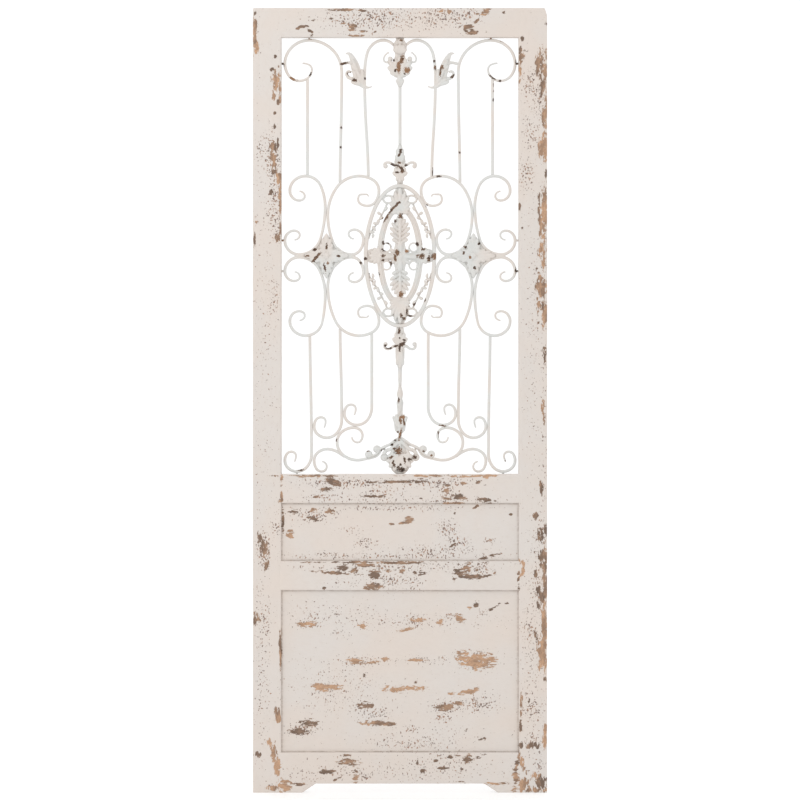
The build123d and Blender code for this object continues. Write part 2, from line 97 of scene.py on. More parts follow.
# the node itself stays as it is; its loose triangles are merged on the copy
def copyOfNode(node, name):
    piece = bpy.data.objects.new(name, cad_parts[node].data.copy())
    bpy.context.scene.collection.objects.link(piece)
    piece.data.materials.clear()
    editAll(piece)
    bpy.ops.mesh.remove_doubles(threshold=0.00001)
    bpy.ops.object.mode_set(mode="OBJECT")
    return piece


# fuses a piece's parts into one skin; softening thins it, and the swell makes up for that
def remeshed(piece, voxel, soften=0, swell=0.0):
    remesh = piece.modifiers.new("remesh", "REMESH")
    remesh.mode = "VOXEL"
    remesh.voxel_size = voxel
    if soften:
        smooth = piece.modifiers.new("soften", "SMOOTH")
        smooth.factor = 0.5
        smooth.iterations = soften
        swollen = piece.modifiers.new("swell", "DISPLACE")
        swollen.strength = swell
        swollen.mid_level = 0
    applyModifiers(piece)


def handOver(piece, material, node, smoothBelow):
    piece.data.materials.clear()
    piece.data.materials.append(material)
    takeUp(piece)
    bpy.ops.object.shade_smooth_by_angle(angle=math.radians(smoothBelow))
    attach(piece, "root")
    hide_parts(node)


def feed(tree, socket, value):
    if isinstance(value, bpy.types.NodeSocket):
        tree.links.new(value, socket)
    else:
        socket.default_value = value


def addNode(tree, kind, settings=(), inputs=()):
    node = tree.nodes.new(kind)
    for key, value in dict(settings).items():
        setattr(node, key, value)
    for key, value in dict(inputs).items():
        feed(tree, node.inputs[key], value)
    return node


def maths(tree, operation, *values):
    node = addNode(tree, "ShaderNodeMath", {"operation": operation}, dict(enumerate(values)))
    return node.outputs[0]


def stretched(tree, place, scale):
    return addNode(tree, "ShaderNodeMapping", inputs={"Vector": place, "Scale": scale}).outputs[0]


def cloudy(tree, place, scale, detail=3.0, roughness=0.6, twist=0.0):
    inputs = {"Vector": place, "Scale": scale, "Detail": detail, "Roughness": roughness, "Distortion": twist}
    return addNode(tree, "ShaderNodeTexNoise", inputs=inputs).outputs[0]


def ramp(tree, value, low, high, start=0.0, end=1.0):
    inputs = {"Value": value, "From Min": low, "From Max": high, "To Min": start, "To Max": end}
    return addNode(tree, "ShaderNodeMapRange", {"interpolation_type": "SMOOTHSTEP"}, inputs).outputs[0]


def blendOf(tree, factor, first, second):
    node = addNode(tree, "ShaderNodeMix", {"data_type": "RGBA"}, {0: factor, 6: first, 7: second})
    return node.outputs[2]


# a colour as it shows on screen, 0 to 255, made linear for a shader
def screenColour(red, green, blue):
    linear = [((v / 255 + 0.055) / 1.055) ** 2.4 for v in (red, green, blue)]
    return (*linear, 1)


def newMaterial(name):
    material = bpy.data.materials.new(name)
    material.use_nodes = True
    tree = material.node_tree
    place = addNode(tree, "ShaderNodeTexCoord").outputs["Object"]
    return material, tree, tree.nodes["Principled BSDF"], place


# the camera looks level at the door's middle; frameWidth is what it sees at the front face
view = {"distance": 7.5, "height": 1.0006, "front": -0.03, "frameWidth": 2.038, "sensor": 36}
light = {"world": 0.69, "keyPlace": (-2.0, -2.6, 3.0), "keyAim": (0, 0, 1), "keySize": 0.9, "keyPower": 20}
# the round wall encloses the camera, so that the door has the same pale ground from every side
studio = {
    "floorWidth": 24.0,
    "wallRadius": 11.0,
    "wallHeight": 14.0,
    "wallSink": 0.2,
    "pale": (196, 196, 196),
    "cloudDepth": 3,
    "floorGlow": 0.47,
    "wallGlow": 0.48,
}


def plainMaterial(name, colour, glow):
    material, tree, shader, place = newMaterial(name)
    darker = [v - studio["cloudDepth"] for v in colour]
    shade = blendOf(tree, cloudy(tree, place, 0.7), screenColour(*colour), screenColour(*darker))
    feed(tree, shader.inputs["Base Color"], shade)
    shader.inputs["Roughness"].default_value = 0.6
    shader.inputs["Emission Color"].default_value = (1, 1, 1, 1)
    shader.inputs["Emission Strength"].default_value = glow
    return material


def stageFloor(material):
    startClean()
    bpy.ops.mesh.primitive_plane_add(size=studio["floorWidth"])
    floor = bpy.context.object
    floor.name = "floor"
    floor.data.materials.append(material)


def stageBackdrop(material):
    startClean()
    bpy.ops.mesh.primitive_cylinder_add(
        radius=studio["wallRadius"],
        depth=studio["wallHeight"],
        vertices=64,
        location=(0, 0, studio["wallHeight"] / 2 - studio["wallSink"]),
    )
    backdrop = bpy.context.object
    backdrop.name = "backdrop"
    editAll(backdrop)
    bpy.ops.mesh.flip_normals()  # it is seen from within
    bpy.ops.object.mode_set(mode="OBJECT")
    backdrop.data.materials.append(material)


def setUpStudio():
    scene = bpy.context.scene
    scene.view_settings.view_transform = "Standard"
    startClean()
    bpy.ops.object.camera_add(
        location=(0, view["front"] - view["distance"], view["height"]), rotation=(math.pi / 2, 0, 0)
    )
    camera = bpy.context.object
    camera.data.sensor_width = view["sensor"]
    camera.data.lens = view["sensor"] * view["distance"] / view["frameWidth"]
    scene.camera = camera
    world = bpy.data.worlds.new("studio")
    world.use_nodes = True
    world.node_tree.nodes["Background"].inputs["Color"].default_value = (1, 1, 1, 1)
    world.node_tree.nodes["Background"].inputs["Strength"].default_value = light["world"]
    scene.world = world
    bpy.ops.object.light_add(type="AREA", location=light["keyPlace"])
    key = bpy.context.object
    key.data.energy = light["keyPower"]
    key.data.size = light["keySize"]
    aim = Vector(light["keyAim"]) - Vector(light["keyPlace"])
    key.rotation_euler = aim.to_track_quat("-Z", "Y").to_euler()
    stageFloor(plainMaterial("floorPaint", studio["pale"], studio["floorGlow"]))
    stageBackdrop(plainMaterial("backdropPaint", studio["pale"], studio["wallGlow"]))


setUpStudio()
print("studio ready")


# metres a pixel of the photograph, and where the door's middle and its foot stand in it
photo = {"pixelX": 0.002547, "pixelZ": 0.0025526, "middleColumn": 399.75, "floorRow": 792}

# worn places in pixels: column, row, half width, half height, lean in degrees and tone,
# fresh at 0 and old and dark at 1; for specks the last number is how dense they are
woodChips = [
    # left stile, top down
    (254.5, 30, 2.4, 11, 0, 0.45), (256, 51, 2.4, 6, 0, 0.1), (255, 14, 1.3, 2, 0, 0.9),
    (275, 57, 1.2, 1.3, 0, 0.9), (271.6, 70.2, 1.4, 1.2, 0, 0.8), (279, 67, 1.6, 1.8, 0, 0.5),
    (277, 80, 4.4, 9, -10, 0.35), (279.8, 92, 1.5, 7.5, 0, 0.35), (273.3, 97, 1.3, 3, 0, 0.5),
    (278, 102.5, 1.2, 2, 0, 0.7), (274.3, 113.5, 1.1, 1.1, 0, 0.9), (274.5, 127.5, 1.3, 2.2, 0, 0.8),
    (273, 147, 3.2, 4.5, 0, 0.6), (277.3, 144, 1, 4, 0, 0.8), (272, 158, 2.8, 4, 0, 0.5),
    (273.3, 165, 2.4, 5, 0, 0.5), (273.3, 172, 3, 1.8, 0, 0.6), (278.4, 176.5, 3.4, 2, 0, 0.4),
    (278.3, 181, 2.8, 5, 0, 0.25), (280, 191.5, 1.3, 10, 0, 0.25), (280.3, 206, 1.4, 6, 0, 0.3),
    (271.7, 192.5, 1.9, 2, 0, 0.85), (277, 238, 2.6, 4, 0, 0.4), (280.5, 231, 1.1, 7, 0, 0.4),
    (255.6, 217, 1.1, 1.2, 0, 0.6), (256.3, 222, 1.1, 1.3, 0, 0.6), (254, 240, 0.9, 6, 0, 0.8),
    (281.3, 480, 1.1, 5, 0, 0.5), (281.3, 498, 1.1, 5.5, 0, 0.5), (279.5, 501, 1.3, 1.5, 0, 0.2),
    (263, 548, 3.6, 9, 12, 0.7), (266, 565, 2, 6, -10, 0.6), (260, 536, 2, 4, 10, 0.6),
    (256, 618, 3.6, 5, 0, 0.5), (280, 652, 1.2, 20, 0, 0.5), (277, 714, 2.8, 6, 0, 0.5),
    (269, 742, 2.6, 3, 0, 0.2), (274, 752, 2.6, 8, 0, 0.45), (277, 766, 2.6, 6, 0, 0.15),
    (283, 785, 4.5, 6, 0, 0.15), (257, 754, 2.6, 2.4, 0, 0.8), (272, 787, 5, 2, 0, 0.4),
    # right stile, top down
    (522, 39.6, 1.2, 2, 0, 0.9), (525.7, 51, 1.8, 2, 20, 0.85), (520, 51, 1.1, 4, 0, 0.8),
    (521.6, 57, 2.4, 4, 0, 0.4), (520, 72, 1.8, 13, 0, 0.35), (546, 24.5, 1.2, 1.3, 0, 0.8),
    (541, 64, 4.6, 11, 0, 0.5), (545, 68, 3, 14, 0, 0.4), (543, 85, 2.6, 5, 0, 0.55),
    (541.5, 94, 1.3, 6, 0, 0.55), (546, 108, 1.8, 14, 0, 0.35), (543.6, 116, 1.4, 8, 0, 0.45),
    (544, 148, 4.2, 10, 0, 0.35), (545.2, 174, 1.4, 3.5, 0, 0.7), (544, 212, 2.8, 26, 0, 0.35),
    (543.5, 245, 3.2, 20, 0, 0.3), (539, 197, 1.1, 6, 0, 0.55), (538.6, 209, 1.1, 6, 0, 0.55),
    (539.6, 222, 1.2, 5, 0, 0.5), (540, 234, 1.4, 5, 0, 0.5), (540.5, 250, 2.4, 8, 0, 0.45),
    (536.2, 268.5, 1.1, 1.1, 0, 0.8), (538.4, 273, 1.1, 1.1, 0, 0.6), (539.8, 278, 2, 4, 0, 0.4),
    (541, 289, 4.2, 8, 0, 0.45), (538.4, 304, 1.6, 8, 0, 0.5), (541.5, 307.5, 3.2, 3.5, 0, 0.65),
    (544.5, 314, 2.6, 12, 0, 0.35), (538, 322.7, 1.1, 1.6, 0, 0.6), (519.3, 207, 1.2, 3, 0, 0.6),
    (521.4, 218.6, 1.1, 1.1, 0, 0.9), (522, 228, 1.1, 1.1, 0, 0.8), (544.5, 356, 1.6, 8, 0, 0.6),
    (543, 410, 1.5, 12, 0, 0.4), (541, 488, 1.6, 6, 0, 0.6), (535.4, 516.4, 2.3, 3, 0, 0.65),
    (541, 532, 2.4, 8, 0, 0.8), (545.5, 528, 1.4, 5, 0, 0.8), (542.6, 556, 3.2, 8, 0, 0.7),
    (544.7, 580, 2.4, 32, 0, 0.5), (535.4, 573, 1.3, 3, 0, 0.75), (537.8, 590, 2.6, 3.4, 0, 0.75),
    (542, 597, 3.2, 7, 0, 0.75), (538, 605, 1.6, 5, 0, 0.8), (544, 628, 2.7, 30, 0, 0.35),
    (542, 652, 3.8, 14, 0, 0.3), (535.3, 635, 1.2, 5, 8, 0.8), (545.3, 678, 1.2, 3, 0, 0.7),
    (525.9, 692.5, 1.2, 1.4, 0, 0.9), (529, 700, 1.2, 2.4, -20, 0.85), (521.2, 706, 1, 10, 0, 0.5),
    (520.5, 726.6, 1.4, 5.5, 0, 0.7), (545.3, 727, 1.2, 3, 0, 0.6), (544, 739, 1.9, 9, 0, 0.3),
    (520.5, 744.7, 2, 3, 0, 0.8), (532.6, 744.7, 8, 2.5, 0, 0.75), (522.5, 764, 2.2, 8, 14, 0.3),
    (523, 784, 6, 6, 0, 0.4), (535.3, 775, 4, 2.6, -20, 0.35), (541, 783, 5.4, 6.5, 0, 0.75),
    (534, 789, 12, 1.8, 0, 0.45),
    (521.4, 562, 1.4, 3.4, 28, 0.12), (523.3, 568, 1.3, 4.8, 0, 0.12), (521.5, 574, 1.5, 3, -30, 0.15),
    # top rail
    (299, 28.6, 3, 1.2, 30, 0.7), (304, 27, 3.2, 1.2, 0, 0.7), (309, 31, 3.4, 1.3, -42, 0.7),
    (311, 36.6, 2, 0.9, 0, 0.8), (342, 10.3, 12, 1, 0, 0.6), (362, 11, 4, 0.9, 0, 0.6),
    (344, 24.3, 2.8, 0.9, 0, 0.5), (352.5, 26.7, 3, 1.8, -15, 0.6), (352, 31.1, 4.8, 1.2, -8, 0.55),
    (361, 32, 4.5, 0.8, 0, 0.6), (356, 36.4, 5.5, 0.8, 0, 0.6), (374.5, 32.4, 1.2, 1.2, 0, 0.8),
    (331, 19, 1.7, 0.9, 0, 0.8), (313.3, 21.2, 1.5, 0.9, 0, 0.8), (440.8, 12, 2.6, 1.5, 0, 0.3),
    (449, 12.7, 1.6, 1.6, 0, 0.6), (485.5, 12, 4.2, 2.6, 18, 0.35), (489, 9.6, 4, 0.9, 0, 0.6),
    (477.5, 14.3, 2.2, 0.9, 15, 0.6), (476.5, 22, 2.2, 1, 40, 0.55), (458, 27, 2.4, 0.9, 0, 0.8),
    (468.4, 26.8, 4, 1.2, 0, 0.55), (465.5, 29, 1.4, 2.4, -25, 0.55), (470.4, 32.6, 4.4, 2, -8, 0.55),
    (477, 32.6, 1.2, 1.1, 0, 0.8), (485.7, 32.6, 1.4, 1, 40, 0.8), (503.6, 13.5, 1.3, 1.1, 0, 0.7),
    # lock rail
    (306, 475.7, 26, 0.9, 0, 0.5), (330, 481, 6, 2.6, 0, 0.6), (326, 489, 5, 2.2, 0, 0.6),
    (336, 484.5, 4, 1.8, 0, 0.55), (399, 482, 22, 1.1, 0, 0.75), (371, 496, 9, 1.4, 0, 0.75),
    (425, 475.7, 20, 0.8, 0, 0.3), (462, 476.5, 10, 1.2, 0, 0.2), (486, 476.9, 4, 1.5, 0, 0.2),
    (490, 475.6, 12, 0.8, 0, 0.2), (478.5, 482, 2.4, 1.4, 20, 0.5), (485.5, 484.4, 1.6, 0.9, 0, 0.85),
    (459.3, 497, 5.6, 2, -8, 0.65), (460.3, 494.4, 1.8, 0.8, 0, 0.7), (485, 500, 6, 1.9, -8, 0.65),
    (489.5, 502.3, 2.6, 0.9, 0, 0.65), (494.8, 500.6, 1.5, 0.8, 0, 0.85), (446, 498.7, 4, 1.3, 0, 0.6),
    (446, 490.6, 3, 1.3, 20, 0.6), (420.6, 498.6, 1.4, 0.9, 20, 0.9), (446, 485, 3, 1.2, 0, 0.6),
    (463, 483, 3, 1, 0, 0.4), (453, 503, 9, 0.8, 0, 0.5), (316, 497, 2.4, 1, 0, 0.7),
    # upper panel
    (293, 511, 4, 1.9, 0, 0.85), (315, 510, 5, 1.5, 0, 0.25), (330, 511, 4, 1.8, 0, 0.5),
    (290, 535, 3, 4, 0, 0.5), (409, 520, 4.6, 2.4, 0, 0.5), (403, 523, 4, 1.1, 15, 0.5),
    (391, 524, 2.4, 0.9, 0, 0.5), (476, 506.6, 2.8, 1.2, 35, 0.55), (510.5, 514.8, 1.3, 1.3, 0, 0.9),
    (495, 554.6, 4.8, 1.2, 10, 0.9), (483.7, 558, 4.4, 0.9, 6, 0.75), (282.4, 522, 1, 12, 0, 0.8),
    (312, 518, 5, 1.2, -20, 0.85), (454.5, 513, 1.2, 1.2, 0, 0.9), (453, 545, 3, 0.9, 30, 0.8),
    # middle rail
    (369, 561.9, 52, 0.9, 0, 0.65), (343, 567.5, 4.2, 3.6, 0, 0.6), (336, 572.5, 18, 1.3, -4, 0.6),
    (367, 564.6, 10, 1.4, 0, 0.6), (400, 563, 19, 1.1, 0, 0.55), (375, 574, 5, 3.4, 0, 0.6),
    (373, 586, 8, 2.6, 0, 0.55), (352, 571, 4, 2.4, 20, 0.65), (388, 570, 3.4, 1.6, -15, 0.6),
    (415, 562.4, 10, 1, 0, 0.6), (403, 570.4, 3.2, 1.8, 15, 0.55), (414.5, 572, 2.4, 1.3, -30, 0.7),
    (420, 573, 1.6, 2.6, 0, 0.7), (424.3, 573, 1.1, 1.1, 0, 0.8), (467, 566.5, 4.2, 5, 0, 0.65),
    (459.3, 574.3, 5.4, 3, 0, 0.7), (472, 576.2, 9, 2, 0, 0.65), (488, 575, 5, 1, 8, 0.7),
    (493.8, 573.2, 2.2, 0.9, 40, 0.7), (457.4, 570.4, 3.2, 1.3, 0, 0.8), (453.6, 579, 1.6, 2.4, -20, 0.75),
    (458.4, 563.3, 1.4, 1.3, -30, 0.8), (476.6, 569.5, 1.8, 1, 20, 0.8), (484.6, 562.4, 4, 0.8, 0, 0.8),
    (518.6, 572.4, 1.2, 1.8, 0, 0.7), (518.6, 578.5, 1, 2.2, -20, 0.6), (518.3, 587, 1, 3.4, 0, 0.7),
    (300, 566, 1.2, 1.1, 0, 0.8), (312, 571, 1.2, 1.1, 0, 0.8), (324, 588, 1.3, 1.1, 0, 0.8),
    # lower panel
    (363, 625, 4, 2.6, 0, 0.25), (308, 624, 8, 2, 0, 0.25), (357, 661, 8, 2.6, 0, 0.3),
    (373, 661, 4, 2, 0, 0.3), (385, 659, 3, 1.6, 0, 0.2), (326, 687, 12, 3.2, 0, 0.2),
    (395, 688.6, 10, 2.4, 0, 0.15), (300, 731, 9, 2.8, 0, 0.8), (309, 722, 7, 2.6, 0, 0.85),
    (376, 723, 13, 2.2, 0, 0.5), (365, 705, 6, 2.6, 0, 0.5), (364, 674, 1.1, 2, 0, 0.9),
    (476.3, 603.8, 1.9, 3, -15, 0.75), (469.6, 608.2, 2, 2.3, 0, 0.12), (494.4, 606.7, 5.6, 1.2, 30, 0.75),
    (506.5, 603.8, 1.4, 1.3, 0, 0.9), (416, 619.5, 7, 2, 0, 0.2), (405, 629.6, 7, 1.1, 8, 0.2),
    (440, 622, 2.6, 2.3, 0, 0.2), (458, 614.5, 3, 1.2, 0, 0.25), (460.4, 619, 4.4, 3, -10, 0.25),
    (417, 659.6, 8, 1, 0, 0.35), (478, 660.5, 13, 6.6, 0, 0.25), (462, 656, 6, 4, 0, 0.3),
    (490, 658, 4, 4, 0, 0.3), (412, 688.3, 12.5, 2, 0, 0.18), (415.8, 682.4, 2.4, 1.1, 0, 0.85),
    (451.5, 693.2, 3, 1, 0, 0.25), (468, 691.6, 9, 2, 8, 0.25), (477, 687.8, 3.2, 0.9, 10, 0.6),
    (445.5, 706.5, 8, 3, 0, 0.5), (457.6, 703.6, 4.4, 1.6, 0, 0.45), (481.7, 739, 2.6, 1.1, 12, 0.85),
    (484, 738, 1.5, 1.6, 0, 0.85), (466.3, 729.5, 1.4, 1.2, 0, 0.8),
    # bottom rail
    (349, 761, 9, 2.6, 0, 0.6), (347, 754.6, 5, 0.9, 0, 0.6), (327, 771, 6, 1.8, 0, 0.8),
    (337, 778, 3.4, 0.9, 30, 0.7), (355, 777, 2.8, 5, 0, 0.6), (439.5, 755, 2.2, 0.9, 0, 0.8),
    (449.5, 756.6, 2.6, 1.8, 0, 0.8), (458.3, 755, 2.8, 0.9, 0, 0.7), (467, 758, 3.4, 4, 0, 0.55),
    (477.7, 757, 3.4, 0.9, 0, 0.75), (484.4, 753.8, 2.2, 0.8, 0, 0.75), (417, 761.4, 1.1, 1.9, 0, 0.85),
    (422.8, 770, 1.8, 1.6, 0, 0.8), (435.5, 760, 1.8, 1, 0, 0.8), (442.9, 767.4, 4, 0.9, 0, 0.8),
    (461.6, 768, 2.2, 0.9, 0, 0.8), (460.3, 781.6, 4, 0.8, 0, 0.6), (499, 783, 12, 1.6, 0, 0.4),
    (516.5, 764, 2, 10, -12, 0.6), (515.5, 778, 3, 7, 0, 0.5), (514.5, 788, 3, 3, 0, 0.25),
    (287, 786, 4, 4, 0, 0.25), (300, 783.5, 6, 1, 0, 0.5),
]
woodSpecks = [
    (272, 158, 10, 26, 0, 1), (262, 150, 8, 14, 0, 1), (275, 205, 9, 34, 0, 1), (275, 229, 6, 13, 0, 1),
    (273, 300, 10, 26, 0, 0.8), (276, 527, 6, 9, 0, 1), (263, 550, 9, 22, 0, 1), (265, 450, 10, 12, 0, 0.5),
    (264, 622, 8, 30, 0, 0.9), (271, 788, 6, 5, 0, 0.9), (262, 700, 9, 30, 0, 0.7),
    (268, 420, 10, 50, 0, 0.4), (530, 84, 10, 18, 0, 1), (537, 100, 8, 26, 0, 1),
    (531, 135, 13, 24, 0, 0.8), (526, 174, 9, 18, 0, 1), (536, 205, 7, 30, 0, 0.5),
    (530, 300, 10, 30, 0, 0.4), (535, 420, 10, 40, 0, 0.5), (541, 535, 6, 15, 0, 1),
    (538, 590, 5, 30, 0, 1), (531, 628, 11, 15, 0, 1), (534, 709, 10, 16, 0, 1), (532, 737, 10, 7, 0, 0.9),
    (539, 762, 7, 14, 0, 1), (372, 20, 52, 14, 0, 1), (440, 18, 36, 12, 0, 1), (466, 15, 14, 9, 0, 1),
    (350, 483, 60, 6, 0, 1), (430, 482, 44, 6, 0, 1), (446, 494, 14, 9, 0, 1), (330, 497, 40, 6, 0, 0.8),
    (380, 492, 26, 8, 0, 0.9), (312, 518, 14, 6, 0, 1), (350, 530, 16, 5, 0, 0.7), (365, 543, 12, 6, 0, 1),
    (447, 529, 12, 9, 0, 1), (456, 543, 14, 7, 0, 1), (490, 541, 7, 4, 0, 1), (430, 552, 60, 9, 0, 0.8),
    (330, 556, 50, 5, 0, 0.8), (390, 580, 28, 9, 0, 0.9), (414, 583, 10, 8, 0, 0.9),
    (482, 568, 12, 8, 0, 1), (345, 583, 24, 6, 0, 0.6), (308, 622, 14, 7, 0, 1), (340, 632, 12, 6, 0, 0.8),
    (416, 620, 16, 8, 0, 1), (452, 618, 12, 6, 0, 0.9), (482, 613, 10, 5, 0, 0.8), (476, 660, 20, 11, 0, 1),
    (420, 659, 16, 4, 0, 0.9), (478, 703, 22, 11, 0, 1), (445, 707, 16, 8, 0, 1), (443, 717, 9, 6, 0, 1),
    (370, 712, 24, 10, 0, 0.8), (411, 730, 12, 6, 0, 0.9), (414, 746, 16, 5, 0, 0.9),
    (309, 726, 18, 9, 0, 0.8), (440, 762, 40, 12, 0, 0.8), (345, 768, 30, 12, 0, 0.7),
    (364, 776, 7, 5, 0, 1), (357, 661, 18, 7, 0, 0.9), (266, 330, 12, 170, 0, 0.5),
    (262, 660, 9, 120, 0, 0.62), (533, 330, 12, 210, 0, 0.5), (533, 640, 12, 150, 0, 0.66),
    (340, 690, 60, 26, 0, 0.62), (330, 612, 60, 12, 0, 0.6), (420, 741, 60, 16, 0, 0.66),
    (400, 621, 110, 8, 0, 0.66), (400, 660, 110, 5, 0, 0.6), (312, 515, 30, 7, 0, 0.9),
    (400, 508, 110, 3, 0, 0.85), (400, 556, 118, 4, 0, 0.85), (425, 770, 90, 13, 0, 0.7),
    (300, 775, 30, 14, 0, 0.6), (400, 500, 112, 5, 0, 0.8), (400, 567, 112, 5, 0, 0.8),
    (258, 400, 5, 380, 0, 0.45), (543, 400, 5, 380, 0, 0.6), (308, 623, 13, 6, 0, 1.05),
    (449, 707, 15, 7, 0, 1.1), (326, 690, 20, 5, 0, 0.9), (300, 728, 14, 7, 0, 1.05),
    (360, 707, 14, 5, 0, 0.85), (412, 742, 26, 7, 0, 0.9),
]
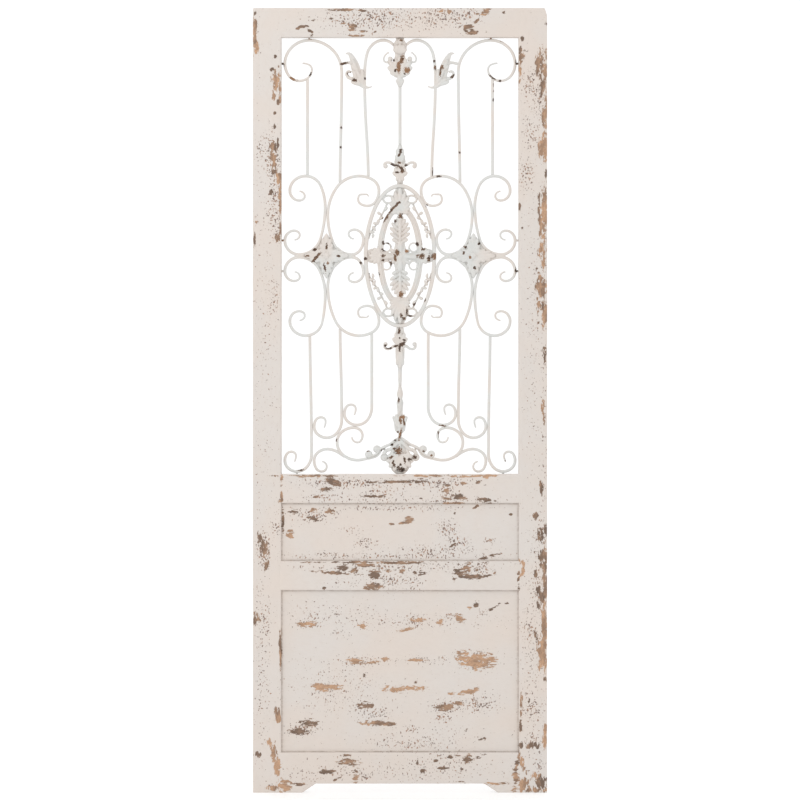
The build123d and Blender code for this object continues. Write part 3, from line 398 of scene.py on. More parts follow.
ironRust = [
    # upper bay
    (292.5, 79, 4, 1.4, -22, 0.35), (309.5, 74, 1.2, 2.4, -25, 0.8), (311, 38.4, 2.4, 1.1, 0, 0.4),
    (282.5, 65, 1.3, 2.2, 0, 0.75), (343.5, 63.6, 3.4, 1.2, 10, 0.7), (349, 74, 2.3, 1.8, 0, 0.6),
    (354, 80.5, 2.2, 1.6, -30, 0.7), (340.8, 128, 1.1, 1.1, 0, 0.85), (340.5, 147.6, 1.1, 1.1, 0, 0.8),
    (365, 78.5, 1, 1.2, 0, 0.8), (393.7, 60.6, 1.1, 1.1, 0, 0.8), (395, 71, 1, 1.3, 0, 0.8),
    (401.6, 59.7, 1.9, 4.4, -15, 0.5), (398.4, 67.3, 1.9, 5, 0, 0.4), (406.3, 70.6, 2.8, 2.6, 0, 0.35),
    (404.5, 74.2, 1.2, 0.9, 0, 0.8), (401, 40.6, 1.4, 0.9, 0, 0.5), (434.1, 61.6, 1.1, 1.1, 0, 0.9),
    (434.6, 68.3, 1.1, 2, 0, 0.6), (433.2, 171.6, 1, 4, 0, 0.85), (438, 176.4, 2.4, 1.1, 0, 0.85),
    (441.5, 67.6, 1.8, 2.4, -15, 0.55), (440, 73.5, 0.9, 4, -10, 0.6), (452.5, 76.5, 2.2, 1.2, 30, 0.7),
    (490.5, 38.3, 2.6, 1.1, 0, 0.4), (516.5, 62.5, 1.2, 3, 0, 0.85), (492.5, 77.6, 4.4, 1.1, -38, 0.75),
    (499.5, 81, 1.6, 1.1, 0, 0.8), (494.2, 85.5, 1.1, 1.8, 0, 0.7), (494.4, 91.5, 0.9, 1.6, 0, 0.7),
    (493.6, 99.8, 1.2, 1.2, 0, 0.9), (459.3, 152.5, 1, 1, 0, 0.8), (503, 41, 3.4, 1.1, -18, 0.5),
    (400.4, 151, 1.4, 2, 0, 0.75), (398.6, 155.3, 1.4, 1.1, 30, 0.7), (399.2, 163, 1.5, 1.1, 0, 0.6),
    (392, 164.8, 2.2, 1.4, 0, 0.9), (396.6, 165.6, 2.6, 1, -12, 0.8), (405.9, 165.2, 1.5, 1.1, 0, 0.8),
    (401.4, 169, 3.2, 1.3, -45, 0.7), (402.2, 171.8, 1.4, 1.6, 0, 0.6), (396.8, 172.4, 1.8, 1, 0, 0.75),
    # medallion
    (384.5, 218.4, 1.9, 5.6, -42, 0.6), (392.5, 209, 1.1, 7, -45, 0.65), (398.6, 202.8, 2.6, 1.1, 30, 0.7),
    (400.7, 216.3, 2.2, 2.4, 0, 0.6), (395, 221.5, 0.9, 2.2, -45, 0.8), (388.3, 241.3, 2.6, 2.8, 20, 0.85),
    (383, 243, 1.3, 1.6, 0, 0.8), (391.8, 245.8, 1.1, 1.6, -20, 0.85), (383.6, 250.3, 2, 1.2, -20, 0.85),
    (383, 255.8, 1.8, 1.4, 0, 0.65), (382.9, 260.3, 1.5, 1, 0, 0.7), (397, 252.8, 2.2, 2.6, 10, 0.55),
    (394.8, 257.6, 1.3, 3.6, 0, 0.55), (406.7, 251.3, 1.9, 1.5, 0, 0.3), (417, 244.3, 1.4, 1.7, 0, 0.85),
    (422.4, 242, 1, 2.8, 0, 0.6), (423.1, 248.8, 1.9, 1.8, 20, 0.65), (421.5, 256.3, 2.4, 2.6, 0, 0.6),
    (428.6, 258.6, 1.6, 2.6, 0, 0.65), (434.4, 256.3, 3, 2.7, 0, 0.5), (416.8, 256, 1.2, 1.2, 0, 0.6),
    (364.8, 258.6, 1.8, 1.4, 0, 0.85), (376.2, 246.8, 1.4, 1, 0, 0.85), (369.7, 272.2, 1, 1.6, -20, 0.85),
    (391, 264, 1, 4, 25, 0.75), (400.8, 294.6, 2, 2.8, -25, 0.45), (414.5, 304.5, 5, 1.2, 22, 0.75),
    (424.3, 300.2, 1.2, 1.6, 0, 0.7), (406.6, 311.6, 0.9, 3.6, 0, 0.75), (409.6, 316, 2.4, 1.3, 20, 0.7),
    (401, 315.4, 1.3, 2, 0, 0.7), (404, 318.5, 1.4, 1.2, 0, 0.6), (399, 331.5, 1.1, 3.2, 0, 0.7),
    (426.5, 206, 0.9, 1.4, -20, 0.75), (360.6, 263, 1.2, 1.4, 0, 0.8), (378.4, 274.5, 1, 1.8, 0, 0.8),
    # rosettes and middle scrolls
    (315.8, 257.8, 1.2, 6.4, -42, 0.6), (326.1, 246.8, 1.1, 3, 0, 0.7), (324.5, 268, 1, 4, 12, 0.7),
    (314.3, 249.8, 2, 1.1, 20, 0.7), (306.5, 256, 2.2, 1.1, 0, 0.6), (338.2, 256.2, 1.8, 1, 0, 0.7),
    (327.6, 263, 1.3, 1.5, 0, 0.5), (320.4, 281.4, 1, 2, 0, 0.8), (479, 244, 1.3, 1.5, 0, 0.8),
    (465, 247, 1.6, 1.1, 0, 0.7), (463.5, 253, 1.1, 1.6, 0, 0.7), (474.7, 268, 1.2, 2, 0, 0.8),
    (470, 257.5, 1.4, 1.3, 0, 0.4), (281.8, 240, 1.2, 2.2, 0, 0.5), (516.5, 270.5, 1.2, 3, 0, 0.85),
    # lower bay
    (399.5, 338, 1.1, 1.1, 0, 0.8), (403.9, 340.3, 1.3, 1, 0, 0.9), (402.5, 343.8, 1.9, 2.2, -20, 0.75),
    (399.5, 347, 1.1, 4.2, 0, 0.8), (395.4, 346.2, 2.2, 1, 15, 0.75), (388.6, 348, 3.2, 1, 0, 0.8),
    (385.3, 345.6, 1.3, 1.2, 0, 0.95), (398.5, 400.6, 1, 2.2, 0, 0.7), (402.3, 417.2, 2.8, 1.6, 15, 0.35),
    (400.2, 421, 1.4, 3, 0, 0.5), (403.9, 422.4, 1, 3.2, 12, 0.6), (400, 434.5, 1.1, 5.4, -12, 0.45),
    (397.5, 432, 1.2, 0.9, 0, 0.6), (398.5, 451, 2.8, 3.4, 0, 0.5), (394, 448.6, 1.6, 1.1, 0, 0.6),
    (391.8, 444.6, 1.1, 1.1, 0, 0.8), (395, 440.2, 1.2, 0.9, 0, 0.85), (382.2, 449.8, 1.5, 0.9, 40, 0.9),
    (391, 457.2, 2.3, 1.4, 30, 0.6), (393, 461.4, 0.9, 2, -20, 0.7), (394, 465, 1.1, 2.2, 15, 0.7),
    (404.4, 460.4, 1, 3.2, 10, 0.7), (409.4, 459.6, 2, 1.5, 10, 0.85), (414.6, 457, 2, 1.7, 0, 0.7),
    (401.5, 469.3, 3.4, 2.2, 0, 0.8), (397.5, 467.3, 1.1, 1.6, -20, 0.75), (400, 464.4, 1, 1.2, 0, 0.8),
    (423.2, 451.3, 1.2, 0.9, 0, 0.7), (431.3, 455.5, 1, 1, 0, 0.5), (368, 451, 1.4, 0.9, 0, 0.6),
    (442, 425.8, 3.4, 1, -8, 0.6), (438.5, 434.7, 0.9, 3, 10, 0.7), (487, 472, 4, 1, 0, 0.3),
    (506, 459, 1.1, 2, 0, 0.7), (300, 470, 3, 1.1, 0, 0.7), (336, 440, 1.1, 1.6, 0, 0.7),
]


# how strongly each vertex lies in the worn places, strongest place first, and that place's tone
def fieldOf(spots, xs, zs, tones=False):
    columns = photo["middleColumn"] + xs / photo["pixelX"]
    rows = photo["floorRow"] - zs / photo["pixelZ"]
    total = np.zeros(len(xs))
    shade = np.full(len(xs), 0.5)
    for column, row, halfWide, halfHigh, lean, tone in spots:
        reach = 3.0 * max(halfWide, halfHigh)
        near = np.flatnonzero((abs(columns - column) < reach) & (abs(rows - row) < reach))
        dx, dz = columns[near] - column, row - rows[near]
        c, s = math.cos(math.radians(lean)), math.sin(math.radians(lean))
        across, up = (dx * c + dz * s) / halfWide, (dz * c - dx * s) / halfHigh
        strength = np.exp(-0.69 * (across**2 + up**2)) * (1 if tones else tone)
        better = near[strength > total[near]]
        total[better] = strength[strength > total[near]]
        if tones:
            shade[better] = tone
    return total, shade


# stores chips, specks, tone and, for a board, a darkening along its border that is partly dirt and partly
# painted shade of the groove's corner
def paintWear(piece, chips, specks, frontOnly=None, border=None):
    mesh = piece.data
    places = np.empty(len(mesh.vertices) * 3, np.float32)
    mesh.vertices.foreach_get("co", places)
    xs, ys, zs = places.reshape(-1, 3).T
    chipped, tone = fieldOf(chips, xs, zs, tones=True)
    speckled, _ = fieldOf(specks, xs, zs)
    if frontOnly is not None:
        facing = np.clip((frontOnly - ys) / 0.004, 0, 1)
        chipped, speckled = chipped * facing, speckled * facing
    grimeAndShade = np.zeros(len(xs))
    if border is not None:
        left, right, bottom, top = border
        edge = np.minimum(np.minimum(xs - left, right - xs), np.minimum(zs - bottom, top - zs))
        # darker towards the visible border: dirt and painted shade where the board meets the frame
        grimeAndShade = np.exp(-np.maximum(edge, 0) / wood["grimeAndShadeWidth"]) * facing
    colours = np.stack([chipped, speckled, tone, grimeAndShade], axis=1).astype(np.float32)
    layer = mesh.attributes.new("wear", "FLOAT_COLOR", "POINT")
    layer.data.foreach_set("color", colours.ravel())


# wooden members: planks with eased edges under chipped chalky paint
wood = {
    "paintWarm": (213, 202, 193),
    "paintCool": (211, 204, 198),
    "grainShade": (203, 191, 181),
    "chipHalo": (206, 188, 172),
    "bareLight": (196, 158, 128),
    "bareDark": (116, 97, 84),
    "dotShade": (120, 101, 92),
    "dotWarm": (164, 132, 112),
    # the colour of the dirt and painted shade along the border of a board
    "grimeAndShade": (150, 134, 122),
    "grimeAndShadeWidth": 0.0018,
    "voxel": 0.0029,
    "endLap": 0.006,
    "waver": 0.0005,
    "waverSize": 0.03,
    "frontDepth": -0.012,  # the photographed wear stays in front of this, stray wear is behind it
}


def wornPaint(name, alongGrain):
    material, tree, shader, place = newMaterial(name)
    wear = addNode(tree, "ShaderNodeAttribute", {"attribute_name": "wear"})
    parts = addNode(tree, "ShaderNodeSeparateColor", inputs={0: wear.outputs["Color"]}).outputs
    along = stretched(tree, place, alongGrain)

    # chips with ragged edges, and a little stray wear on the back
    broad = cloudy(tree, along, 90, 2, 0.5, 0.6)
    fine = cloudy(tree, along, 230, 4, 0.65, 0.5)
    ragged = maths(tree, "SUBTRACT", maths(tree, "MULTIPLY_ADD", broad, 0.8, fine), 0.9)
    allowed = ramp(tree, parts[0], 0.03, 0.28, 0, 2.6)
    chipLevel = maths(tree, "MULTIPLY_ADD", ragged, allowed, maths(tree, "MULTIPLY", parts[0], 0.92))
    depth = addNode(tree, "ShaderNodeSeparateXYZ", inputs={0: place}).outputs["Y"]
    behind = ramp(tree, depth, -0.014, -0.008)
    stray = ramp(tree, cloudy(tree, along, 26, 6, 0.72, 0.3), 0.6, 0.63)
    chip = maths(tree, "MAXIMUM", ramp(tree, chipLevel, 0.4, 0.46), maths(tree, "MULTIPLY", stray, behind))

    # specks, dense where the specks channel is high
    dotGate = maths(tree, "MULTIPLY", maths(tree, "MULTIPLY_ADD", behind, 0.6, parts[1]), 0.19)
    cluster = ramp(tree, cloudy(tree, place, 30, 2), 0.42, 0.62, 0, 0.05)
    dots = maths(tree, "ADD", cloudy(tree, stretched(tree, place, (1, 0.6, 0.8)), 235, 2, 0.6), dotGate)
    dot = ramp(tree, maths(tree, "MULTIPLY_ADD", cluster, parts[1], dots), 0.74, 0.77)
    dotTone = ramp(tree, cloudy(tree, place, 75, 2), 0.4, 0.6)
    dotColour = blendOf(tree, dotTone, screenColour(*wood["dotShade"]), screenColour(*wood["dotWarm"]))

    # bare wood, from fresh to weathered, with its fibres
    fibre = cloudy(tree, along, 420, 3, 0.7)
    drift = maths(tree, "SUBTRACT", ramp(tree, cloudy(tree, along, 60, 3), 0.35, 0.65), 0.5)
    tone = ramp(tree, maths(tree, "MULTIPLY_ADD", drift, 0.4, parts[2]), 0.1, 0.9)
    woodColour = blendOf(tree, tone, screenColour(*wood["bareLight"]), screenColour(*wood["bareDark"]))
    deepGrain = screenColour(*(v * 0.75 for v in wood["bareDark"]))
    woodColour = blendOf(tree, ramp(tree, fibre, 0.35, 0.75, 0, 0.45), woodColour, deepGrain)

    # paint with brushed streaks, a halo round the chips and, along a board's border, dirt with painted shade
    tint = ramp(tree, cloudy(tree, place, 4.0, 3), 0.35, 0.65)
    paint = blendOf(tree, tint, screenColour(*wood["paintWarm"]), screenColour(*wood["paintCool"]))
    streak = cloudy(tree, along, 160, 4, 0.7)
    paint = blendOf(tree, ramp(tree, streak, 0.45, 0.85, 0, 0.4), paint, screenColour(*wood["grainShade"]))
    nearEdge = ramp(tree, chipLevel, 0.26, 0.4, 0, 0.3)
    paint = blendOf(tree, nearEdge, paint, screenColour(*wood["chipHalo"]))
    # painted shade and dirt along the board's border, broken up by the streaks
    grimeAndShade = maths(tree, "MULTIPLY", wear.outputs["Alpha"], ramp(tree, streak, 0.35, 0.6, 0.2, 0.85))
    paint = blendOf(tree, grimeAndShade, paint, screenColour(*wood["grimeAndShade"]))
    paint = blendOf(tree, dot, paint, dotColour)

    bare = maths(tree, "MAXIMUM", chip, dot)
    feed(tree, shader.inputs["Base Color"], blendOf(tree, chip, paint, woodColour))
    feed(tree, shader.inputs["Roughness"], ramp(tree, bare, 0, 1, 0.62, 0.88))
    height = maths(tree, "MULTIPLY_ADD", fibre, 0.12, maths(tree, "MULTIPLY", bare, -1.0))
    bump = addNode(tree, "ShaderNodeBump", inputs={"Strength": 0.6, "Distance": 0.0006, "Height": height})
    feed(tree, shader.inputs["Normal"], bump.outputs[0])
    return material


def plankFromBox(name, low, high):
    startClean()
    bpy.ops.mesh.primitive_cube_add(size=1, location=[(a + b) / 2 for a, b in zip(low, high)])
    plank = bpy.context.object
    plank.name = name
    plank.scale = [b - a for a, b in zip(low, high)]
    settle(plank)
    return plank


# planed by hand: the faces drift inwards by up to the strength
def waver(piece, size, strength):
    cloud = bpy.data.textures.new(piece.name + "Cloud", "CLOUDS")
    cloud.noise_scale = size
    cloud.noise_depth = 2
    lift = piece.modifiers.new("waver", "DISPLACE")
    lift.texture = cloud
    lift.texture_coords = "LOCAL"
    lift.strength = strength
    lift.mid_level = 1.0
    applyModifiers(piece)


# the flat back becomes one face
def plainBack(plank):
    mesh = plank.data
    takeUp(plank)
    bpy.ops.object.mode_set(mode="EDIT")
    bpy.ops.mesh.select_mode(type="FACE")
    bpy.ops.mesh.select_all(action="DESELECT")
    bpy.ops.object.mode_set(mode="OBJECT")
    back = max(vertex.co.y for vertex in mesh.vertices)
    behind = [face.normal.y > 0.98 and face.center.y > back - 0.002 for face in mesh.polygons]
    mesh.polygons.foreach_set("select", behind)
    bpy.ops.object.mode_set(mode="EDIT")
    bpy.ops.mesh.delete(type="FACE")
    bpy.ops.mesh.select_mode(type="EDGE")
    bpy.ops.mesh.select_non_manifold(extend=False)
    bpy.ops.mesh.edge_face_add()
    bpy.ops.object.mode_set(mode="OBJECT")


def woodenMember(name, parts, paint, node, border=None):
    plank = joinAll(parts, name)
    remeshed(plank, wood["voxel"])
    waver(plank, wood["waverSize"], wood["waver"])
    plainBack(plank)
    paintWear(plank, woodChips, woodSpecks, wood["frontDepth"], border)
    handOver(plank, paint, node, 60)
    max(plank.data.polygons, key=lambda face: face.area).use_smooth = False  # the back stays flat


uprightPaint = wornPaint("uprightWornPaint", (1, 1, 0.4))
levelPaint = wornPaint("levelWornPaint", (0.4, 1, 1))

# the rails and boards end hidden in the stiles
stile = {"tenon": 0.04, "brokenCorner": 0.006, "cornerLean": (0.95, 0, 0.3)}
doorLow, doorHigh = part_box("stiles")
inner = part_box("top_rail")[1][0] - stile["tenon"]
leftStile = plankFromBox("leftStile", doorLow, (-inner, doorHigh[1], doorHigh[2]))
rightStile = plankFromBox("rightStile", (inner, doorLow[1], doorLow[2]), doorHigh)
cutOff(rightStile, (doorHigh[0] - stile["brokenCorner"], 0, doorHigh[2]), stile["cornerLean"])
woodenMember("leftStile", [leftStile], uprightPaint, "stiles")
woodenMember("rightStile", [rightStile], uprightPaint, "stiles")

reach = inner + wood["endLap"]
for node in ("top_rail", "lock_rail", "middle_rail"):
    low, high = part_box(node)
    rail = plankFromBox(node, (-reach, low[1], low[2]), (reach, high[1], high[2]))
    woodenMember("painted_" + node, [rail], levelPaint, node)

# the bottom rail is cut away between two feet with a slope on the inside
footRail = {"rise": 0.023, "foot": 0.053, "slope": 0.0345, "overlap": 0.01}
low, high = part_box("bottom_rail")
beam = plankFromBox("beam", (-reach, low[1], footRail["rise"]), (reach, high[1], high[2]))
feet = []
for side in (-1, 1):
    ends = sorted((side * (inner - footRail["foot"] - footRail["slope"]), side * reach))
    footTop = footRail["rise"] + footRail["overlap"]
    foot = plankFromBox("foot", (ends[0], low[1], 0), (ends[1], high[1], footTop))
    heel = (side * (inner - footRail["foot"]), 0, 0)
    cutOff(foot, heel, (-side * footRail["rise"], 0, -footRail["slope"]))
    feet.append(foot)
woodenMember("painted_bottom_rail", [beam, *feet], levelPaint, "bottom_rail")

# the boards stand in grooves; dirt and painted shade lie along the edge of what shows of them
boards = {"trim": 0.006, "tongue": 0.0097}
for node in ("lower_panel", "upper_panel"):
    low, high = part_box(node)
    bottom, top = low[2] + boards["trim"], high[2] - boards["trim"]
    board = plankFromBox(node, (-reach, low[1], bottom), (reach, high[1], top))
    shown = (-inner, inner, low[2] + boards["tongue"], high[2] - boards["tongue"])
    woodenMember("painted_" + node, [board], levelPaint, node, border=shown)
print("wood done")


# ironwork: forged bars and castings under old paint
iron = {
    "paintWarm": (212, 204, 197),
    "paintCool": (208, 208, 205),
    "stain": (206, 196, 184),
    # the colour of the dirt and painted shade in the hollows of the ironwork
    "creviceDirtAndShade": (168, 154, 142),
    "rustHalo": (196, 176, 158),
    "rustLight": (150, 114, 86),
    "rustDark": (74, 58, 48),
}


def rustyPaint(name):
    material, tree, shader, place = newMaterial(name)
    wear = addNode(tree, "ShaderNodeAttribute", {"attribute_name": "wear"})
    parts = addNode(tree, "ShaderNodeSeparateColor", inputs={0: wear.outputs["Color"]}).outputs

    # rust where the paint is gone, and fine specks all over
    ragged = maths(tree, "SUBTRACT", cloudy(tree, place, 240, 5, 0.7, 0.5), 0.5)
    level = maths(tree, "MULTIPLY_ADD", ragged, ramp(tree, parts[0], 0.03, 0.3, 0, 2.8), parts[0])
    rust = ramp(tree, level, 0.42, 0.5)
    specks = ramp(tree, cloudy(tree, place, 420, 2), 0.74, 0.77)
    bare = maths(tree, "MAXIMUM", rust, specks)
    drift = maths(tree, "SUBTRACT", cloudy(tree, place, 260, 4), 0.5)
    tone = ramp(tree, maths(tree, "MULTIPLY_ADD", drift, 0.9, parts[2]), 0.2, 0.85)
    rustColour = blendOf(tree, tone, screenColour(*iron["rustLight"]), screenColour(*iron["rustDark"]))

    # paint, stained in patches, darker in hollows as dirt and painted shade, and brown round the rust
    tint = ramp(tree, cloudy(tree, place, 9.0, 3), 0.4, 0.6)
    paint = blendOf(tree, tint, screenColour(*iron["paintWarm"]), screenColour(*iron["paintCool"]))
    stain = ramp(tree, cloudy(tree, place, 90, 4), 0.5, 0.8, 0, 0.35)
    paint = blendOf(tree, stain, paint, screenColour(*iron["stain"]))
    # pointiness darkens the hollows: painted shade together with dirt
    form = addNode(tree, "ShaderNodeNewGeometry").outputs["Pointiness"]
    paint = blendOf(tree, ramp(tree, form, 0.49, 0.42, 0, 0.6), paint, screenColour(*iron["creviceDirtAndShade"]))
    halo = ramp(tree, level, 0.3, 0.42, 0, 0.4)
    paint = blendOf(tree, halo, paint, screenColour(*iron["rustHalo"]))

    feed(tree, shader.inputs["Base Color"], blendOf(tree, bare, paint, rustColour))
    feed(tree, shader.inputs["Roughness"], ramp(tree, bare, 0, 1, 0.5, 0.85))
    height = maths(tree, "MULTIPLY_ADD", ragged, 0.35, maths(tree, "MULTIPLY", bare, -0.8))
    bump = addNode(tree, "ShaderNodeBump", inputs={"Strength": 0.5, "Distance": 0.0004, "Height": height})
    feed(tree, shader.inputs["Normal"], bump.outputs[0])
    return material


ironPaint = rustyPaint("rustyIronPaint")
bars = {"voxel": 0.0016, "soften": 2, "swell": 0.0004}
cast = {"voxel": 0.00135, "soften": 1, "swell": 0.0003}


def finishIron(piece, make, node):
    remeshed(piece, make["voxel"], make["soften"], make["swell"])
    paintWear(piece, ironRust, [])
    handOver(piece, ironPaint, node, 80)


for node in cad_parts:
    if node.endswith(("scrolls", "crooks", "canes", "pickets", "rod", "studs")):
        finishIron(copyOfNode(node, "forged_" + node), bars, node)
print("forged bars done")


# castings: the node's plate, thinned to its back, with leaves, beads and mouldings on its face;
# depths here are in metres, and all other measures of a casting in mm from its origin
plates = {"back": -0.01175, "share": 0.42}
leafwork = {"depth": 0.0042, "middle": -0.0172, "tilt": 4.0, "stemLift": 0.0015, "hoopLift": 0.0006}


# a leaf one long, root at zero, that widens away from its root
def leafShape():
    startClean()
    bpy.ops.mesh.primitive_uv_sphere_add(segments=16, ring_count=10, radius=0.5)
    leaf = bpy.context.object
    leaf.name = "leafShape"
    taper = leaf.modifiers.new("taper", "SIMPLE_DEFORM")
    taper.deform_method = "TAPER"
    taper.deform_axis = "X"
    taper.factor = 0.9
    applyModifiers(leaf)
    editAll(leaf)
    bpy.ops.transform.translate(value=(0.5, 0, 0))
    bpy.ops.object.mode_set(mode="OBJECT")
    return leaf


def beadShape():
    startClean()
    bpy.ops.mesh.primitive_uv_sphere_add(segments=16, ring_count=10, radius=1)
    bead = bpy.context.object
    bead.name = "beadShape"
    return bead


leafForm = leafShape()
beadForm = beadShape()


def placed(shape, origin, x, z, size, angle=0, tilt=0.0):
    piece = bpy.data.objects.new(shape.name, shape.data.copy())
    bpy.context.scene.collection.objects.link(piece)
    spot = (origin[0] + x / 1000, leafwork["middle"], origin[1] + z / 1000)
    turn = Euler((0, math.radians(-angle), 0)).to_matrix() @ Euler((0, 0, math.radians(-tilt))).to_matrix()
    piece.matrix_world = Matrix.Translation(spot) @ turn.to_4x4() @ Matrix.Diagonal((*size, 1))
    return piece


# leaves that spread both ways from one root, each by its angle from the middle, length and width
def fan(x, z, turned, leaves):
    spread = []
    for angle, length, width in leaves:
        for side in (1, -1) if angle else (1,):
            spread.append((x, z, turned + side * angle, length, width))
    return spread


def fansOf(groups):
    return [leaf for group in groups for leaf in fan(*group)]


# leaves of x, z, angle, length and width, with their mirror images to the left
def mirrored(leaves):
    return leaves + [(-x, z, 180 - angle, *rest) for x, z, angle, *rest in leaves]


# the same leaves upside down, which may start further out
def flipped(leaves, further=0):
    return [(x, -z - further, -angle, *rest) for x, z, angle, *rest in leaves]


def plateOf(node, share=plates["share"], keepWithin=None):
    plate = copyOfNode(node, "plate")
    editAll(plate)
    bpy.ops.transform.resize(value=(1, share, 1), center_override=(0, plates["back"], 0))
    bpy.ops.object.mode_set(mode="OBJECT")
    if keepWithin:
        for side in (-1, 1):
            cutOff(plate, (side * keepWithin / 1000, 0, 0), (side, 0, 0))
    return plate


# a rod along a smooth line of x, z and width, with its mirror image unless it is a middle one
def stem(points, origin, flat=1.0, bothSides=True):
    rods = []
    depth = leafwork["middle"] + leafwork["stemLift"]
    for side in (1, -1) if bothSides else (1,):
        startClean()
        line = bpy.data.curves.new("stem", "CURVE")
        line.dimensions = "3D"
        run = line.splines.new("NURBS")
        run.points.add(len(points) - 1)
        for point, (x, z, width) in zip(run.points, points):
            point.co = (side * x / 1000, depth, origin[1] + z / 1000, 1)
            point.radius = width
        run.order_u = 3
        run.use_endpoint_u = True
        line.bevel_depth = 0.0005
        line.bevel_resolution = 2
        rod = bpy.data.objects.new("stem", line)
        bpy.context.scene.collection.objects.link(rod)
        takeUp(rod)
        bpy.ops.object.convert(target="MESH")
        editAll(bpy.context.object)
        bpy.ops.transform.resize(value=(1, flat, 1), center_override=(0, depth, 0))
        bpy.ops.mesh.select_all(action="DESELECT")
        bpy.ops.mesh.select_non_manifold()
        bpy.ops.mesh.edge_face_add()  # closes both ends
        bpy.ops.object.mode_set(mode="OBJECT")
        rods.append(bpy.context.object)
    return rods


def stemsOf(lines, origin):
    return [rod for line in lines for rod in stem(line, origin)]


# a raised moulding that follows an ellipse
def oval(origin, x, z, halfWide, halfHigh, thickness):
    spot = (origin[0] + x / 1000, leafwork["middle"] + leafwork["hoopLift"], origin[1] + z / 1000)
    startClean()
    bpy.ops.curve.primitive_bezier_circle_add(radius=1, location=spot, rotation=(math.pi / 2, 0, 0))
    hoop = bpy.context.object
    hoop.scale = (halfWide / 1000, halfHigh / 1000, 1)
    settle(hoop)
    hoop.data.bevel_depth = thickness / 2000
    hoop.data.bevel_resolution = 3
    hoop.data.resolution_u = 24
    bpy.ops.object.convert(target="MESH")
    return bpy.context.object


# leaves are x, z, angle, length and width, beads are x, z, radius and depth; all is fused
def casting(node, origin, parts, leaves=(), beads=()):
    parts = list(parts)
    for x, z, angle, length, width in leaves:
        size = (length / 1000, 2 * leafwork["depth"], width / 1000)
        parts.append(placed(leafForm, origin, x, z, size, angle, leafwork["tilt"]))
    for x, z, radius, depth in beads:
        parts.append(placed(beadForm, origin, x, z, (radius / 1000, depth / 1000, radius / 1000)))
    finishIron(joinAll(parts, "cast_" + node), cast, node)


# an acanthus spindle, two arms and four curls in the medallion's middle
spindle = {
    "lobes": [
        (0, 32, 28, 23, 8), (0, 41, 34, 31, 8), (0, 51, 40, 34, 8),
        (0, 60, 49, 33, 8), (0, 69, 61, 29, 8), (0, 78, 76, 25, 8),
    ],
    "lowerStart": 4,
    "blades": [
        (0, 26, 90, 82, 8), (0, -30, -90, 82, 8), (0, -2, 90, 40, 13), (0, 0, -90, 40, 13),
        (6, -2, 0, 40, 12), (-6, -2, 180, 40, 12),
    ],
    "crossLeaves": [(10, 6, 34, 20, 8), (10, -10, -34, 20, 8)],
    "core": [
        (0, -106, 6), (0, -84, 12), (0, -62, 20), (0, -42, 24), (0, -26, 30), (0, -8, 42),
        (0, 4, 42), (0, 22, 30), (0, 38, 24), (0, 58, 20), (0, 80, 12), (0, 100, 6),
    ],
    "coreFlat": 0.18,
    "arm": [(0, -2, 20), (20, -2, 20), (34, -2, 22), (48, -2, 24)],
    "armFlat": 0.25,
    "curlPlaces": [(-34.5, -24.6), (-34.5, 21.6), (34.5, -24.6), (34.5, 21.6)],
    "curl": (11, 11, 6.8),
    "beads": [(0, -2, 9, 6), (0, -104, 6, 5), (0, -98, 5, 5)],
}
ringLow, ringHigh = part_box("medallion_ring")
middle = (0.0, (ringLow[2] + ringHigh[2]) / 2)
parts = stem(spindle["core"], middle, spindle["coreFlat"], bothSides=False)
parts += stem(spindle["arm"], middle, spindle["armFlat"])
parts += [oval(middle, x, z, *spindle["curl"]) for x, z in spindle["curlPlaces"]]
leaves = mirrored(spindle["lobes"]) + mirrored(flipped(spindle["lobes"], spindle["lowerStart"]))
leaves += spindle["blades"] + mirrored(spindle["crossLeaves"])
casting("medallion_leaf", middle, parts, leaves, spindle["beads"])

# a moulded band with a palmette at each end, a shell at each side, eyes and sprigs
wreath = {
    "band": (50.5, 120.5, 9.5),
    "rims": [(44.6, 114.6, 3.4), (56.4, 126.4, 3.4)],
    "eyePlaces": [(-29.8, -144.2), (-29.8, 144.2), (29.8, -144.2), (29.8, 144.2)],
    "eye": (12.8, 10, 6.2),
    "palmette": [(0, 66, 11), (13, 58, 9), (27, 50, 9), (43, 40, 9), (62, 30, 8), (84, 24, 7)],
    "palmetteRise": 108,
    "shell": [(0, 30, 10), (24, 29, 9), (48, 27, 9), (74, 23, 8)],
    "shellReach": 50,
    "sprigs": [
        (62, 62, 62, 16, 7), (64, 60, 4, 15, 7), (57, 78, 98, 15, 7), (57, 80, 20, 12, 6),
        (46, 104, 30, 14, 7), (40, 113, 120, 14, 7), (52, 92, 140, 12, 6), (70, 44, 100, 12, 6),
    ],
    "beads": [(-50, 0, 8, 6), (50, 0, 8, 6), (0, -109, 8, 6), (0, 109, 8, 6)],
}
parts = [plateOf("medallion_wreath"), oval(middle, 0, 0, *wreath["band"])]
parts += [oval(middle, 0, 0, *rim) for rim in wreath["rims"]]
parts += [oval(middle, x, z, *wreath["eye"]) for x, z in wreath["eyePlaces"]]
rise, out = wreath["palmetteRise"], wreath["shellReach"]
leaves = fan(0, rise, 90, wreath["palmette"]) + fan(0, -rise, -90, wreath["palmette"])
leaves += fan(-out, 0, 180, wreath["shell"]) + fan(out, 0, 0, wreath["shell"])
leaves += mirrored(wreath["sprigs"]) + mirrored(flipped(wreath["sprigs"]))
casting("medallion_wreath", middle, parts, leaves, wreath["beads"])

ring = {"plate": 0.75, "moulding": (87.5, 178.5, 7.5)}
parts = [plateOf("medallion_ring", ring["plate"]), oval(middle, 0, 0, *ring["moulding"])]
casting("medallion_ring", middle, parts)

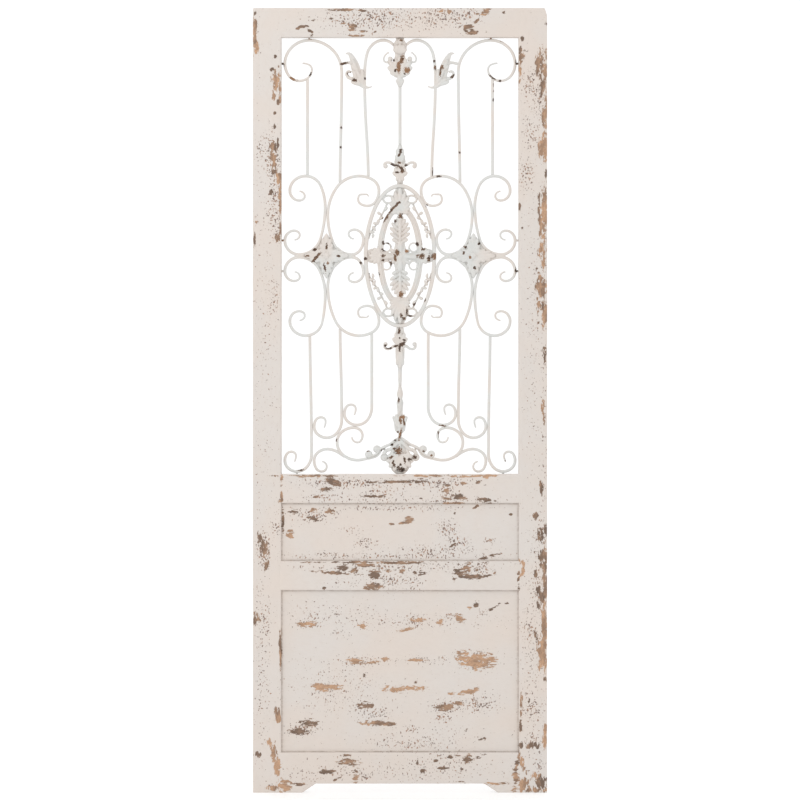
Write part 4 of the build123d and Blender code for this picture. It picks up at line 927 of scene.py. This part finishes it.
# a shell under a crest of ridges, with three coils a side
shell = {
    "plate": 0.3,
    "fan": [(0, 46, 11), (20, 46, 11), (40, 44, 11), (61, 40, 10), (82, 33, 9)],
    "crest": [(4, 78, -36, 34, 8), (30, 66, -50, 22, 8), (14, 66, -62, 30, 8)],
    "ridges": [
        [(1, 91, 4), (12, 88, 5.5), (26, 75, 6), (44, 66, 5), (54, 62, 4)],
        [(2, 84, 4), (10, 79, 5), (22, 66, 5.5), (34, 58, 5), (43, 49, 4)],
        [(52, 60, 4), (60, 50, 5), (74, 45, 5), (84, 42, 4)],
    ],
    "spine": [(0, 92, 4), (0, 80, 6), (0, 66, 7), (0, 54, 4)],
    "knobs": [(39.5, 42, 8.6), (59, 63, 8), (80.5, 49.5, 9)],
    "coil": 5.2,
    "boss": (0, 55, 7, 7),
}
root = (0.0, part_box("base_ornament")[0][2])
knobs = [(side * x, z, radius) for x, z, radius in shell["knobs"] for side in (-1, 1)]
parts = [plateOf("base_ornament", shell["plate"])]
for x, z, radius in knobs:
    bend = radius - shell["coil"] / 2
    parts.append(oval(root, x, z, bend, bend, shell["coil"]))
parts += stemsOf(shell["ridges"], root) + stem(shell["spine"], root, bothSides=False)
beads = [(x, z, radius - 1, 1.6) for x, z, radius in knobs]
beads += [(x, z, radius * 0.27, 4) for x, z, radius in knobs] + [shell["boss"]]
casting("base_ornament", root, parts, fan(0, 50, -90, shell["fan"]) + mirrored(shell["crest"]), beads)

crown = {
    "keepWithin": 30,
    "fans": [
        (0, -99, 90, [(0, 50, 13), (18, 49, 12), (35, 47, 12), (52, 40, 11), (68, 28, 9)]),
        (0, -42, 90, [(0, 26, 11), (26, 26, 10), (50, 22, 9)]),
        (0, -126, 90, [(0, 27, 10), (22, 22, 8)]),
    ],
    "hook": [(22, -56, 7), (32, -64, 5), (42, -60, 4), (41, -46, 4), (30, -37, 3)],
    "beads": [(-25, -54, 6, 6), (25, -54, 6, 6), (0, -9, 7, 5), (0, -100, 7, 6)],
}
root = (0.0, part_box("crown_ornament")[1][2])
parts = [plateOf("crown_ornament", keepWithin=crown["keepWithin"]), *stem(crown["hook"], root)]
casting("crown_ornament", root, parts, fansOf(crown["fans"]), crown["beads"])

finial = {
    "keepWithin": 17,
    "fans": [
        (0, 50, 90, [(0, 48, 11), (11, 40, 9), (26, 26, 8)]),
        (0, 14, 90, [(0, 32, 11), (26, 31, 10), (48, 25, 9)]),
        (0, 34, -90, [(0, 32, 9), (18, 28, 8)]),
    ],
    "hook": [(6, 46, 9), (16, 48, 7), (28, 56, 6), (39, 54, 6), (41, 46, 6), (36, 43, 6)],
    "beads": [(0, 48, 7, 6), (-37, 45, 5.5, 5), (37, 45, 5.5, 5)],
}
root = (0.0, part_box("upper_finial")[0][2])
parts = [plateOf("upper_finial", keepWithin=finial["keepWithin"]), *stem(finial["hook"], root)]
casting("upper_finial", root, parts, fansOf(finial["fans"]), finial["beads"])

baluster = {
    "keepWithin": 16.5,
    "fans": [
        (0, 228, 90, [(0, 42, 10), (18, 40, 9), (36, 32, 9)]),
        (0, 236, -90, [(0, 62, 10), (9, 54, 8)]),
        (0, 16, 90, [(0, 40, 11), (14, 44, 9), (26, 42, 8)]),
        (0, 18, -90, [(0, 22, 8)]),
    ],
    "shaft": [(0, 92, 90, 34, 10), (0, 128, -90, 34, 10), (0, 64, 90, 34, 9), (0, 180, -90, 50, 8)],
    "hook": [(6, 232, 9), (16, 234, 7), (24, 225, 6), (35, 224, 6), (42, 232, 6), (37, 238, 6)],
    "beads": [
        (0, 228, 8, 6), (0, 18, 6, 6), (0, 108, 7, 6),
        (-37, 237, 5.5, 5), (37, 237, 5.5, 5), (0, 186, 5, 5),
    ],
}
root = (0.0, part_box("baluster")[0][2])
parts = [plateOf("baluster", keepWithin=baluster["keepWithin"]), *stem(baluster["hook"], root)]
casting("baluster", root, parts, fansOf(baluster["fans"]) + baluster["shaft"], baluster["beads"])

# four leafy arms, short leaves between them and a beaded boss
rosette = {
    "halfWidth": 0.058,
    "arm": [(0, 57, 13), (14, 46, 9), (28, 34, 9)],
    "between": (24, 10),
    "boss": (9, 8),
    "bead": (3, 6),
    "beadCircle": 11,
}
centre = (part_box("rosettes")[1][0] - rosette["halfWidth"]) * 1000
star = []
for turned in (0, 90, 180, 270):
    star += fan(centre, 0, turned, rosette["arm"]) + [(centre, 0, turned + 45, *rosette["between"])]
beads = [(centre, 0, *rosette["boss"])]
for turned in range(0, 360, 45):
    c, s = math.cos(math.radians(turned + 22.5)), math.sin(math.radians(turned + 22.5))
    beads.append((centre + rosette["beadCircle"] * c, rosette["beadCircle"] * s, *rosette["bead"]))
beads += [(-x, z, radius, depth) for x, z, radius, depth in beads]
casting("rosettes", middle, [plateOf("rosettes")], mirrored(star), beads)

# an iron leaf a side between the crooks, with a curl, a spur and a stalk
ironLeaf = {
    "footHeight": 1.8,  # metres
    "blade": [
        (89, -3, 6), (95, 6, 24), (105, 22, 28), (111, 40, 24),
        (116, 58, 23), (122, 74, 15), (130, 87, 9), (141, 84, 3),
    ],
    "bladeFlat": 0.26,
    "stems": [
        [(104, 16, 12), (118, 20, 10), (131, 22, 8), (138, 33, 7), (131, 42, 6), (125, 37, 5)],
        [(96, 2, 9), (86, -2, 6), (78, -2, 4), (71, 1, 2.5)],
        [(116, 60, 10), (130, 62, 7), (142, 60, 7), (152, 57, 7)],
    ],
    "veins": [
        (91, 0, 64, 46, 9), (104, 30, 66, 44, 9), (93, 0, 40, 34, 9),
        (93, 4, 84, 42, 8), (94, 2, 20, 34, 9), (110, 38, 50, 22, 8),
    ],
}
root = (0.0, ironLeaf["footHeight"])
parts = stem(ironLeaf["blade"], root, ironLeaf["bladeFlat"]) + stemsOf(ironLeaf["stems"], root)
casting("leaves", root, parts, mirrored(ironLeaf["veins"]))

for form in (leafForm, beadForm):
    bpy.data.objects.remove(form)
print("castings done")
